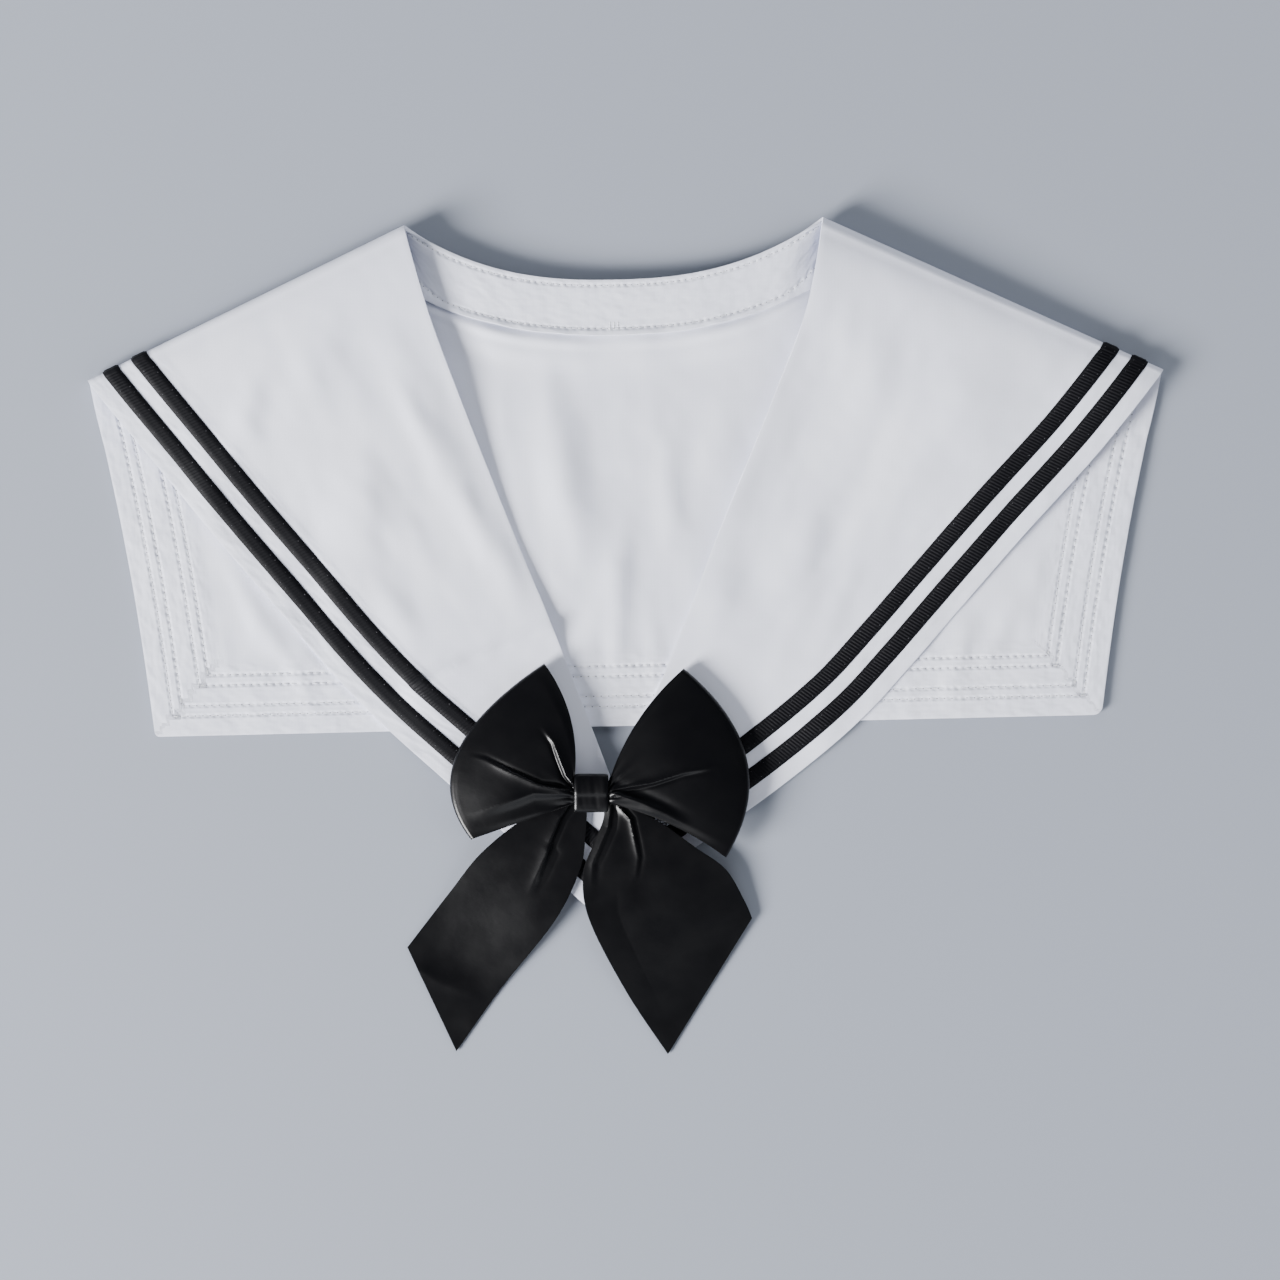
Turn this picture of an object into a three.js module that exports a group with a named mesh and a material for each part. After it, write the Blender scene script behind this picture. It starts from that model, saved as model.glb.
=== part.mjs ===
// A detachable sailor collar with a satin bow, laid flat and folded over at both shoulders.
// Millimetres, +Z up. X runs across the shoulders and Y from the bow's tails up to the neck.
// The origin is the middle of the outline, on the surface that the collar lies on.
import * as THREE from "three";

// Thicknesses of the cloths
const COTTON = 1.2; // the collar's two layers, sewn together and turned
const FACING = 1.0; // the neck band
const RIBBON = 0.6; // the ribbed ribbons
const SATIN = 1.0; // the bow, lined
const GAP = 0.3; // air between neighbouring pieces

// The collar as it lies
const HALF_SPAN = 214.6; // middle to a shoulder corner
const FALL = 275; // neck points to the lapel tips
const NECK_DEPTH = 22.7; // how far the back neckline dips below the neck points
const NECK_ROUND = 2.5; // power of the neckline's curve
const SIDE_HOLLOW = 2.2; // how far the back panel's sides curve in
const BAND_WIDTH = 22; // neck band
const HEM_MARGIN = 6.5; // cloth edge to the outer ribbon
const RIBBON_WIDTH = 6.9;
const RIBBON_APART = 5.3; // clear cloth between the two ribbons

// How high it stands
const NECK_ROLL = 5; // radius of the shoulder fold at the neck point
const CORNER_ROLL = 2.5; // and at the shoulder corner
const NECK_RISE = 4; // the back neckline above the panel
const NECK_RUN = 45; // length over which the panel comes down from the neckline
const SETTLE = 130; // length over which a lapel comes down from its fold
const SLACK = 0.2; // looseness of a lapel on the panel
const CROSSING = 0.85; // share of the way from the hem to the knot in which the lapels cross over
const HEM_SPREAD = 0.86; // how the plain columns' spacing at the hem compares with the shoulder's

// The bow
const LOOP_REACH = 60; // knot to the fullest point of a loop
const LOOP_PUFF = 5; // how far a loop's upper layer swells
const OPEN_EDGE_PUFF = 0.35; // the swell at a loop's open edges, as a share of LOOP_PUFF
const GATHER_START = 0.15; // share of a loop or tail over which its gathers deepen
const LOOP_EDGE = 1.5; // radius of the loop's end fold
const LOOP_SLOPE = 1.6; // how much higher a loop's lower corner lies than its upper tip
const TAIL_LENGTH = 117; // knot to the tail's tip
const TAIL_DROP = 34; // run over which a tail comes down beside the lapel
const KNOT_WIDE = 13.2;
const KNOT_TALL = 15.6;
const NECK_AIR = 0.8; // half the air between a loop's two layers inside the knot
const NECK_SHARE = 0.6; // a loop's width inside the knot, as a share of the knot's
const PIN_LONG = 20;
const PIN_WIDE = 3.6;
const PIN_THICK = 0.8;

// Where the outline's corners lie: x as a share of HALF_SPAN and y as a share of FALL
const CORNERS = {
  left: {
    side: -1,
    neck: [-0.411, 0.597],
    shoulder: [-1, 0.373],
    hem: [-0.877, -0.1433],
    tipInner: [0.021, -0.3],
    tipOuter: [-0.0652, -0.3945],
  },
  right: {
    side: 1,
    neck: [0.3663, 0.6087],
    shoulder: [1, 0.389],
    hem: [0.888, -0.111],
    tipInner: [-0.056, -0.2764],
    tipOuter: [0.0093, -0.3673],
  },
};

// How far each lapel edge bows out from its straight line, as shares of the edge's length
const LAPEL_EDGES = [
  { along: 0.14, leftInner: 0.011, leftOuter: 0.01, rightInner: 0.0245, rightOuter: 0.0177 },
  { along: 0.28, leftInner: 0.012, leftOuter: 0.0204, rightInner: 0.025, rightOuter: 0.0268 },
  { along: 0.4, leftInner: 0.0105, leftOuter: 0.0266, rightInner: 0.022, rightOuter: 0.0366 },
  { along: 0.52, leftInner: 0.008, leftOuter: 0.033, rightInner: 0.0185, rightOuter: 0.0468 },
  { along: 0.62, leftInner: 0.004, leftOuter: 0.0316, rightInner: 0.0185, rightOuter: 0.0517 },
  { along: 0.74, leftInner: 0.002, leftOuter: 0.0218, rightInner: 0.016, rightOuter: 0.043 },
  { along: 0.87, leftInner: 0.001, leftOuter: 0.0105, rightInner: 0.008, rightOuter: 0.024 },
];

// The knot's centre, as shares of HALF_SPAN and FALL
const KNOT = [-0.0634, -0.2233];

// Each loop's outline as shares of LOOP_REACH from the knot, and how far its straight edges bow
const LOOPS = {
  left: {
    side: -1,
    tip: [-0.31, 0.853],
    full: [-0.89, 0.257],
    corner: [-0.793, -0.307],
    topBow: 0.1,
    lowBow: 0,
  },
  right: {
    side: 1,
    tip: [0.61, 0.82],
    full: [1.027, 0.223],
    corner: [0.89, -0.427],
    topBow: 0.07,
    lowBow: 0.055,
  },
};

// Gathers in each loop: where across it, how deep as a share of LOOP_PUFF, how far out as a share
// of the loop, and how broad
const LOOP_FOLDS = {
  left: [
    { across: 0.2, depth: 0.42, reach: 0.62, broad: 0.07 },
    { across: 0.58, depth: 0.42, reach: 0.9, broad: 0.07 },
    { across: 0.82, depth: 0.3, reach: 0.7, broad: 0.06 },
  ],
  right: [
    { across: 0.36, depth: 0.4, reach: 0.75, broad: 0.09 },
    { across: 0.56, depth: 0.36, reach: 0.85, broad: 0.06 },
    { across: 0.86, depth: 0.34, reach: 0.75, broad: 0.07 },
  ],
};

// Sections of each tail from the knot to its slanted end, as shares of TAIL_LENGTH
const TAIL_SECTIONS = {
  left: [
    { leftX: -0.055, leftY: 0.029, rightX: -0.005, rightY: 0.038 },
    { leftX: -0.115, leftY: -0.044, rightX: -0.014, rightY: -0.056 },
    { leftX: -0.243, leftY: -0.099, rightX: -0.0205, rightY: -0.15 },
    { leftX: -0.379, leftY: -0.21, rightX: -0.0385, rightY: -0.2615 },
    { leftX: -0.478, leftY: -0.334, rightX: -0.123, rightY: -0.436 },
    { leftX: -0.5675, leftY: -0.4496, rightX: -0.311, rightY: -0.675 },
    { leftX: -0.631, leftY: -0.533, rightX: -0.463, rightY: -0.889 },
  ],
  right: [
    { leftX: 0.005, leftY: 0.038, rightX: 0.055, rightY: 0.029 },
    { leftX: 0.044, leftY: -0.068, rightX: 0.12, rightY: -0.043 },
    { leftX: 0.005, leftY: -0.18, rightX: 0.234, rightY: -0.101 },
    { leftX: -0.029, leftY: -0.286, rightX: 0.35, rightY: -0.184 },
    { leftX: -0.005, leftY: -0.44, rightX: 0.457, rightY: -0.261 },
    { leftX: 0.124, leftY: -0.692, rightX: 0.521, rightY: -0.3675 },
    { leftX: 0.2615, leftY: -0.899, rightX: 0.549, rightY: -0.431 },
  ],
};

// The one standing gather in each tail
const TAIL_FOLDS = {
  left: { across: 0.62, height: 1.6, reach: 0.5, broad: 0.16 },
  right: { across: 0.42, height: 1.6, reach: 0.5, broad: 0.16 },
};

// How finely each surface is divided
const ROLL_STEPS = 3; // steps in a quarter turn of the shoulder fold
const PLAIN_STRIPS = 4; // lapel columns between the ribbons and the neckline edge
const NECK_STRIPS = 12;
const PANEL_ROWS = 4; // rows between the neck band and the hem's ribbons
const LAPEL_ROWS = 13;
const LOOP_ROWS = 7;
const LOOP_COLUMNS = 12;
const EDGE_STEPS = 4;
const TAIL_ROWS = 12;
const TAIL_COLUMNS = 8;

const smooth = (x) => THREE.MathUtils.smoothstep(x, 0, 1);
const mix = THREE.MathUtils.lerp;
const between = (a, b, share) => a.clone().lerp(b, share);
const quarterTurn = (step, steps) => (Math.PI / 2) * (step / steps);
const evenly = (from, to, count) => Array.from({ length: count }, (_, k) => mix(from, to, (k + 1) / count));

// Heights that the layers give, from the surface up
const PANEL_LEVEL = RIBBON + GAP + COTTON / 2;
const LAPEL_LEVEL = PANEL_LEVEL + COTTON + GAP + SLACK;
const OVER_LEVEL = PANEL_LEVEL + COTTON + RIBBON + 2 * GAP;
const PIN_LEVEL = OVER_LEVEL + COTTON / 2 + GAP + PIN_THICK / 2;
const TAIL_LEVEL = PIN_LEVEL + PIN_THICK / 2 + GAP + SATIN / 2;
const KNOT_HOLE_TALL = KNOT_TALL / 2 - SATIN;
const KNOT_HOLE_THICK = (NECK_AIR + SATIN + GAP) / Math.sqrt(1 - NECK_SHARE ** 2);
const KNOT_LEVEL = TAIL_LEVEL + SATIN / 2 + GAP + SATIN + KNOT_HOLE_THICK;
const LOOP_LEVEL = OVER_LEVEL + COTTON / 2 + GAP + RIBBON + GAP + SATIN / 2 + LOOP_EDGE;
const FLOOR_LEVEL = GAP + SATIN / 2;

const RIBBON_LINES = [
  0,
  HEM_MARGIN,
  HEM_MARGIN + RIBBON_WIDTH,
  HEM_MARGIN + RIBBON_WIDTH + RIBBON_APART,
  HEM_MARGIN + 2 * RIBBON_WIDTH + RIBBON_APART,
];

// A sheet of cloth as points and four-cornered cells, whose outer side is the one its cells turn about
class Sheet {
  constructor() {
    this.points = [];
    this.cells = [];
  }

  // Adds a grid of points, row by row. A row may be given as numbers of points that are there already.
  grid(rows, flip) {
    const numbers = rows.map((row) =>
      row.map((point) => (typeof point === "number" ? point : this.points.push(point) - 1)),
    );
    const made = [];
    for (let i = 0; i + 1 < numbers.length; i++) {
      for (let j = 0; j + 1 < numbers[i].length; j++) {
        const corners = [numbers[i][j], numbers[i][j + 1], numbers[i + 1][j + 1], numbers[i + 1][j]];
        made.push({ corners: flip ? corners.reverse() : corners, row: i, column: j });
      }
    }
    this.cells.push(...made);
    return { numbers, cells: made };
  }

  normals() {
    const sums = this.points.map(() => new THREE.Vector3());
    for (const { corners } of this.cells) {
      const [a, b, c, d] = corners.map((n) => this.points[n]);
      const normal = c.clone().sub(a).cross(d.clone().sub(b));
      corners.forEach((n) => sums[n].add(normal));
    }
    return sums.map((sum) => sum.normalize());
  }

  // The closed solid over some of the cells, from one distance above the sheet to another
  slab(cells, low, high) {
    const normals = this.normals();
    const at = (n, lift) => this.points[n].clone().addScaledVector(normals[n], lift);
    const edges = new Set();
    for (const { corners } of cells) corners.forEach((n, k) => edges.add(`${n} ${corners[(k + 1) % 4]}`));
    const triangles = [];
    const quad = (a, b, c, d) => triangles.push(a, b, c, a, c, d);
    for (const { corners } of cells) {
      const [a, b, c, d] = corners;
      quad(at(a, high), at(b, high), at(c, high), at(d, high));
      triangles.push(at(a, low), at(c, low), at(b, low), at(a, low), at(d, low), at(c, low));
      corners.forEach((from, k) => {
        const to = corners[(k + 1) % 4];
        if (!edges.has(`${to} ${from}`)) quad(at(to, high), at(from, high), at(from, low), at(to, low));
      });
    }
    return new THREE.BufferGeometry().setFromPoints(triangles);
  }
}

// The collar's outline

const place = ([x, y]) => new THREE.Vector2(x * HALF_SPAN, y * FALL);

// An edge that bows out to one side of its straight line
function bowedEdge(from, to, column, outward) {
  const line = to.clone().sub(from);
  const out = new THREE.Vector2(line.y, -line.x).multiplyScalar(outward);
  const inner = LAPEL_EDGES.map((row) => between(from, to, row.along).addScaledVector(out, row[column]));
  return new THREE.SplineCurve([from, ...inner, to]);
}

function sideOutline(name) {
  const { side, ...shares } = CORNERS[name];
  const neck = place(shares.neck);
  const shoulder = place(shares.shoulder);
  const fold = neck.clone().sub(shoulder);
  const down = new THREE.Vector2(-side * fold.y, side * fold.x).normalize();
  const inner = bowedEdge(neck, place(shares.tipInner), `${name}Inner`, -side);
  const outer = bowedEdge(shoulder, place(shares.tipOuter), `${name}Outer`, -side);
  return { side, neck, shoulder, hem: place(shares.hem), down, inner, outer };
}

const SIDES = { left: sideOutline("left"), right: sideOutline("right") };
const HEM_LINE = SIDES.right.hem.clone().sub(SIDES.left.hem).normalize();
const HEM_UP = new THREE.Vector2(-HEM_LINE.y, HEM_LINE.x);
const aboveHem = (point) => point.clone().sub(SIDES.left.hem).dot(HEM_UP);
const KNOT_AT = place(KNOT);

// Shares across a row, from its outer edge, at which the ribbons' edges and the plain columns lie
function columnShares(from, to, edgeDirection) {
  const row = to.clone().sub(from);
  const slant = Math.abs(row.clone().normalize().cross(edgeDirection));
  const ribbons = RIBBON_LINES.map((distance) => distance / (slant * row.length()));
  return [...ribbons, ...evenly(ribbons.at(-1), 1, PLAIN_STRIPS)];
}

const rollRadius = (share) => mix(CORNER_ROLL, NECK_ROLL, share);

// The point of a shoulder fold's half round: turn is 0 at its outermost line
function rollPoint(start, direction, down, radius, turn, lapel) {
  const away = radius * (1 - Math.cos(turn));
  const plan = start.clone().addScaledVector(direction, away / direction.dot(down));
  const height = PANEL_LEVEL + radius * (1 + (lapel ? 1 : -1) * Math.sin(turn));
  return new THREE.Vector3(plan.x, plan.y, height);
}

// The back panel, with the shoulder folds' lower halves

function neckline(share) {
  const chord = between(SIDES.left.neck, SIDES.right.neck, share);
  chord.y -= NECK_DEPTH * (1 - Math.abs(2 * share - 1) ** NECK_ROUND);
  return chord;
}

// Each column of the panel: its two ends, and the fold's size where it starts at a shoulder
function panelColumns() {
  const shoulderColumns = ({ neck, shoulder, hem, down }) => {
    const sideways = hem.clone().sub(shoulder).normalize();
    const top = columnShares(shoulder, neck, sideways);
    const hemInner = between(SIDES.left.hem, SIDES.right.hem, 0.5);
    const width = hemInner.distanceTo(hem);
    const slant = Math.abs(HEM_LINE.cross(sideways));
    const low = RIBBON_LINES.map((distance) => distance / (slant * width));
    const plain = evenly(low.at(-1), (HEM_SPREAD * neck.distanceTo(shoulder)) / width, PLAIN_STRIPS);
    return [...low, ...plain].map((lowShare, k) => ({
      top: between(shoulder, neck, top[k]),
      bottom: between(hem, hemInner, lowShare),
      radius: rollRadius(top[k]),
      hollow: k < RIBBON_LINES.length ? 1 : 1 - top[k],
      down,
    }));
  };
  const left = shoulderColumns(SIDES.left).map((column) => ({ ...column, side: -1 }));
  const right = shoulderColumns(SIDES.right).map((column) => ({ ...column, side: 1 }));
  const from = left.at(-1).bottom;
  const to = right.at(-1).bottom;
  const neck = evenly(0, 1, NECK_STRIPS)
    .slice(0, -1)
    .map((share) => ({ top: neckline(share), bottom: between(from, to, share), neckShare: share }));
  return [...left, ...neck, ...right.reverse()];
}

// How far down a column the neck band reaches, where the neckline runs across it at a slant
function bandReach(neckShare) {
  const chord = SIDES.left.neck.distanceTo(SIDES.right.neck);
  const steepness = NECK_ROUND * Math.abs(2 * neckShare - 1) ** (NECK_ROUND - 1);
  return BAND_WIDTH * Math.hypot(1, (2 * NECK_DEPTH * steepness) / chord);
}

function panelHeight(column, distance) {
  if (column.neckShare === undefined) return PANEL_LEVEL;
  const rise = mix(NECK_ROLL, NECK_RISE, Math.sin(Math.PI * column.neckShare));
  return PANEL_LEVEL + rise * (1 - smooth(distance / NECK_RUN));
}

// The points of one column, from the top edge down to the hem
function panelColumn(column) {
  const { top, bottom, side } = column;
  const direction = bottom.clone().sub(top).normalize();
  const length = bottom.distanceTo(top);
  const drop = aboveHem(top);
  const shareAtLine = (line) => 1 - line / drop;
  const bandLength = bandReach(column.neckShare ?? 0);
  const bandShare = bandLength / length;
  const ribbonShares = RIBBON_LINES.map(shareAtLine).reverse();
  const shares = [
    bandShare,
    ...evenly(bandShare, ribbonShares[0], PANEL_ROWS),
    ...ribbonShares.slice(1),
  ];
  const points = [];
  for (let step = 0; step <= ROLL_STEPS; step++) {
    if (column.radius) {
      const turn = quarterTurn(step, ROLL_STEPS);
      points.push(rollPoint(top, direction, column.down, column.radius, turn, false));
    } else {
      const distance = (bandLength * step) / (ROLL_STEPS + 1);
      const plan = top.clone().addScaledVector(direction, distance);
      points.push(new THREE.Vector3(plan.x, plan.y, panelHeight(column, distance)));
    }
  }
  for (const share of shares) {
    const plan = between(top, bottom, share);
    if (side) plan.x -= side * column.hollow * SIDE_HOLLOW * Math.sin(Math.PI * share);
    points.push(new THREE.Vector3(plan.x, plan.y, panelHeight(column, share * length)));
  }
  return points;
}

// A lapel, from the middle of its shoulder fold to its tip

function lapelRest(side, plan) {
  const run = CROSSING * aboveHem(KNOT_AT);
  const dropped = smooth(Math.min(aboveHem(plan), 0) / run);
  return mix(LAPEL_LEVEL, side < 0 ? OVER_LEVEL : PANEL_LEVEL, dropped);
}

function lapelRows({ side, neck, shoulder, down, inner, outer }) {
  const outerStart = outer.getTangentAt(0);
  const innerStart = inner.getTangentAt(0);
  const shares = columnShares(shoulder, neck, outerStart);
  const rows = [];
  for (let step = 1; step <= ROLL_STEPS; step++) {
    rows.push(
      shares.map((share) => {
        const direction = between(outerStart, innerStart, share).normalize();
        const turn = quarterTurn(step, ROLL_STEPS);
        return rollPoint(between(shoulder, neck, share), direction, down, rollRadius(share), turn, true);
      }),
    );
  }
  const startOf = (curve, radius) => radius / (curve.getTangentAt(0).dot(down) * curve.getLength());
  const outerFrom = startOf(outer, CORNER_ROLL);
  const innerFrom = startOf(inner, NECK_ROLL);
  for (const part of evenly(0, 1, LAPEL_ROWS)) {
    const outerPoint = outer.getPointAt(mix(outerFrom, 1, part));
    const innerPoint = inner.getPointAt(mix(innerFrom, 1, part));
    const tangent = outer.getTangentAt(mix(outerFrom, 1, Math.min(part, 1 - 1 / LAPEL_ROWS)));
    rows.push(
      columnShares(outerPoint, innerPoint, tangent).map((share, k) => {
        const plan = between(outerPoint, innerPoint, share);
        const radius = rollRadius(shares[k]);
        const away = plan.clone().sub(shoulder).dot(down) - radius;
        const rest = lapelRest(side, plan);
        const height = mix(PANEL_LEVEL + 2 * radius, rest, smooth(away / SETTLE));
        return new THREE.Vector3(plan.x, plan.y, height);
      }),
    );
  }
  return side < 0 ? rows : rows.map((row) => row.reverse());
}

function collar() {
  const sheet = new Sheet();
  const columns = panelColumns().map(panelColumn);
  const rows = columns[0].map((_, i) => columns.map((column) => column[i]));
  const panel = sheet.grid(rows, false);
  const crest = panel.numbers[0];
  const strips = RIBBON_LINES.length - 1 + PLAIN_STRIPS;
  const left = sheet.grid([crest.slice(0, strips + 1), ...lapelRows(SIDES.left)], true);
  const right = sheet.grid([crest.slice(-strips - 1), ...lapelRows(SIDES.right)], true);
  return { sheet, panel, left, right, strips };
}

// The cells that a ribbon covers: a strip in from every outer edge, mitred at the hem's corners
function ribbonCells({ panel, left, right, strips }, strip) {
  const lastColumn = panel.numbers[0].length - 2;
  const lastRow = panel.numbers.length - 2;
  return [
    ...left.cells.filter((cell) => cell.column === strip),
    ...right.cells.filter((cell) => cell.column === strips - 1 - strip),
    ...panel.cells.filter(({ row, column }) => {
      const edge = Math.min(column, lastColumn - column, lastRow - row);
      return edge === strip;
    }),
  ];
}

// The bow

const onLoop = ([x, y]) => new THREE.Vector2(x * LOOP_REACH, y * LOOP_REACH);

function loopPlan(name) {
  const { side, tip, full, corner, topBow, lowBow } = LOOPS[name];
  const rimFrom = onLoop(tip);
  const rimTo = onLoop(corner);
  const control = onLoop(full).multiplyScalar(2).addScaledVector(between(rimFrom, rimTo, 0.5), -1);
  const rim = new THREE.QuadraticBezierCurve(rimFrom, control, rimTo);
  const exit = side * (KNOT_WIDE / 2 + GAP);
  const neckHalf = NECK_SHARE * KNOT_HOLE_TALL;
  return {
    start: side * GAP,
    exit,
    neckHalf,
    at(out, across) {
      const neck = new THREE.Vector2(exit, mix(neckHalf, -neckHalf, across));
      const end = rim.getPoint(across);
      const plan = between(neck, end, out);
      const sideways = new THREE.Vector2(-(end.y - neck.y), end.x - neck.x).multiplyScalar(side);
      const bow = mix(topBow, lowBow, across) * 4 * out * (1 - out);
      return plan.addScaledVector(sideways, bow);
    },
  };
}

// How far the gathers draw a loop's cloth in at a place
function loopFold(name, out, across) {
  return LOOP_FOLDS[name].reduce((sum, { across: line, depth, reach, broad }) => {
    const fade = smooth(out / GATHER_START) * (1 - smooth(out / reach));
    return sum + depth * fade * Math.exp(-(((across - line) / broad) ** 2));
  }, 0);
}

function loop(name) {
  const plan = loopPlan(name);
  const neckHeight = NECK_AIR + SATIN / 2;
  const layer = (out, across, upper) => {
    const rimLevel = LOOP_LEVEL + LOOP_SLOPE * across ** 2;
    const swell = Math.sin(Math.PI * out) * mix(OPEN_EDGE_PUFF, 1, Math.sin(Math.PI * across));
    const lift = upper ? LOOP_PUFF * (swell - loopFold(name, out, across)) : 0;
    const sign = upper ? 1 : -1;
    const ends = mix(KNOT_LEVEL + sign * neckHeight, rimLevel + sign * LOOP_EDGE, smooth(out));
    return Math.max(ends + lift, rimLevel + sign * LOOP_EDGE);
  };
  const rowAt = (out, upper) => (across) => {
    const { x, y } = plan.at(out, across);
    return new THREE.Vector3(x, y, layer(out, across, upper));
  };
  const insideAt = (upper) => (across) => {
    const y = mix(plan.neckHalf, -plan.neckHalf, across);
    return new THREE.Vector3(plan.start, y, KNOT_LEVEL + (upper ? neckHeight : -neckHeight));
  };
  const rimAt = (turn) => (across) => {
    const { x, y } = plan.at(1 - (LOOP_EDGE / LOOP_REACH) * (1 - Math.cos(turn)), across);
    return new THREE.Vector3(x, y, LOOP_LEVEL + LOOP_SLOPE * across ** 2 + LOOP_EDGE * Math.sin(turn));
  };
  const outs = [0, ...evenly(0, 1 - LOOP_EDGE / LOOP_REACH, LOOP_ROWS)];
  const turns = evenly(Math.PI / 2, -Math.PI / 2, EDGE_STEPS).slice(0, -1);
  const lines = [
    insideAt(true),
    ...outs.map((out) => rowAt(out, true)),
    ...turns.map(rimAt),
    ...outs.toReversed().map((out) => rowAt(out, false)),
    insideAt(false),
  ];
  const acrosses = [0, ...evenly(0, 1, LOOP_COLUMNS)];
  const sheet = new Sheet();
  sheet.grid(lines.map((line) => acrosses.map(line)), LOOPS[name].side > 0);
  return sheet.slab(sheet.cells, -SATIN / 2, SATIN / 2);
}

// The lapels' outlines in plan, which the tails hang over
const LAPEL_OUTLINES = Object.values(SIDES).map(({ inner, outer }) => [
  ...outer.getSpacedPoints(LAPEL_ROWS * 2),
  ...inner.getSpacedPoints(LAPEL_ROWS * 2).reverse(),
]);

function inside(point, outline) {
  let within = false;
  outline.forEach((a, k) => {
    const b = outline[(k + 1) % outline.length];
    const crosses = a.y > point.y !== b.y > point.y;
    if (crosses && point.x < a.x + ((b.x - a.x) * (point.y - a.y)) / (b.y - a.y)) within = !within;
  });
  return within;
}

function distanceTo(point, a, b) {
  const line = b.clone().sub(a);
  const share = THREE.MathUtils.clamp(point.clone().sub(a).dot(line) / line.lengthSq(), 0, 1);
  return a.clone().addScaledVector(line, share).distanceTo(point);
}

// How far a point lies outside both lapels
function beyondLapels(point) {
  const distances = LAPEL_OUTLINES.map((outline) =>
    inside(point, outline)
      ? 0
      : Math.min(...outline.map((a, k) => distanceTo(point, a, outline[(k + 1) % outline.length]))),
  );
  return Math.min(...distances);
}

function tail(name) {
  const edge = (x, y) =>
    new THREE.SplineCurve(
      TAIL_SECTIONS[name].map((row) => new THREE.Vector2(row[x] * TAIL_LENGTH, row[y] * TAIL_LENGTH)),
    );
  const left = edge("leftX", "leftY");
  const right = edge("rightX", "rightY");
  const { across: line, height, reach, broad } = TAIL_FOLDS[name];
  const clearOfKnot = (KNOT_TALL / 2 + GAP) / TAIL_LENGTH;
  const rows = [0, ...evenly(0, 1, TAIL_ROWS)].map((out) =>
    [0, ...evenly(0, 1, TAIL_COLUMNS)].map((across) => {
      const plan = between(left.getPoint(out), right.getPoint(out), across);
      const beyond = beyondLapels(plan.clone().add(KNOT_AT));
      const drape = mix(TAIL_LEVEL, FLOOR_LEVEL, smooth((beyond - SATIN) / TAIL_DROP));
      const fade = smooth((out - clearOfKnot) / GATHER_START) * (1 - smooth(out / reach));
      const gather = height * fade * Math.exp(-(((across - line) / broad) ** 2));
      return new THREE.Vector3(plan.x, plan.y, drape + gather);
    }),
  );
  const sheet = new Sheet();
  sheet.grid(rows, true);
  return sheet.slab(sheet.cells, -SATIN / 2, SATIN / 2);
}

// The satin band round the gathers: an oval ring whose hole runs along X
function knot() {
  const ring = new THREE.Shape().absellipse(0, 0, KNOT_HOLE_THICK + SATIN, KNOT_TALL / 2, 0, 2 * Math.PI);
  const hole = new THREE.Path().absellipse(0, 0, KNOT_HOLE_THICK, KNOT_HOLE_TALL, 0, 2 * Math.PI, true);
  ring.holes.push(hole);
  const made = new THREE.ExtrudeGeometry(ring, { depth: KNOT_WIDE, bevelEnabled: false, curveSegments: 24 });
  return made.translate(0, 0, -KNOT_WIDE / 2).rotateY(Math.PI / 2);
}

const cloth = (color, roughness) => new THREE.MeshStandardMaterial({ color, roughness, metalness: 0 });
const WHITE_COTTON = cloth(0xe9eaf0, 0.85);
const BLACK_RIBBON = cloth(0x15151a, 0.75);
const BLACK_SATIN = cloth(0x0b0b0e, 0.35);
const STEEL = new THREE.MeshStandardMaterial({ color: 0xb8bcc2, roughness: 0.35, metalness: 1 });

function piece(name, geometry, material) {
  const mesh = new THREE.Mesh(geometry, material);
  mesh.name = name;
  return mesh;
}

function collarPieces() {
  const made = collar();
  const { sheet, panel, strips } = made;
  const outside = COTTON / 2 + GAP;
  const lastNeckColumn = strips + NECK_STRIPS - 1;
  const bandCells = panel.cells.filter(
    ({ row, column }) => row <= ROLL_STEPS && column >= strips && column <= lastNeckColumn,
  );
  const ribbon = (strip) => sheet.slab(ribbonCells(made, strip), outside, outside + RIBBON);
  return [
    piece("collar_cloth", sheet.slab(sheet.cells, -COTTON / 2, COTTON / 2), WHITE_COTTON),
    piece("neck_band", sheet.slab(bandCells, -outside - FACING, -outside), WHITE_COTTON),
    piece("outer_ribbon", ribbon(1), BLACK_RIBBON),
    piece("inner_ribbon", ribbon(3), BLACK_RIBBON),
  ];
}

function bow() {
  const group = new THREE.Group();
  group.position.set(KNOT_AT.x, KNOT_AT.y, 0);
  const band = piece("knot", knot(), BLACK_SATIN);
  band.position.z = KNOT_LEVEL;
  const pin = piece("bow_pin", new THREE.BoxGeometry(PIN_LONG, PIN_WIDE, PIN_THICK), STEEL);
  pin.position.z = PIN_LEVEL;
  group.add(
    piece("left_loop", loop("left"), BLACK_SATIN),
    piece("right_loop", loop("right"), BLACK_SATIN),
    piece("left_tail", tail("left"), BLACK_SATIN),
    piece("right_tail", tail("right"), BLACK_SATIN),
    band,
    pin,
  );
  return group;
}

const sailorCollar = new THREE.Group();
sailorCollar.add(...collarPieces(), bow());

// The origin goes to the middle of the whole outline, on the surface below
const extent = new THREE.Box3().setFromObject(sailorCollar);
const middle = extent.getCenter(new THREE.Vector3());
sailorCollar.position.set(-middle.x, -middle.y, -extent.min.z);

export default sailorCollar;
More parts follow.
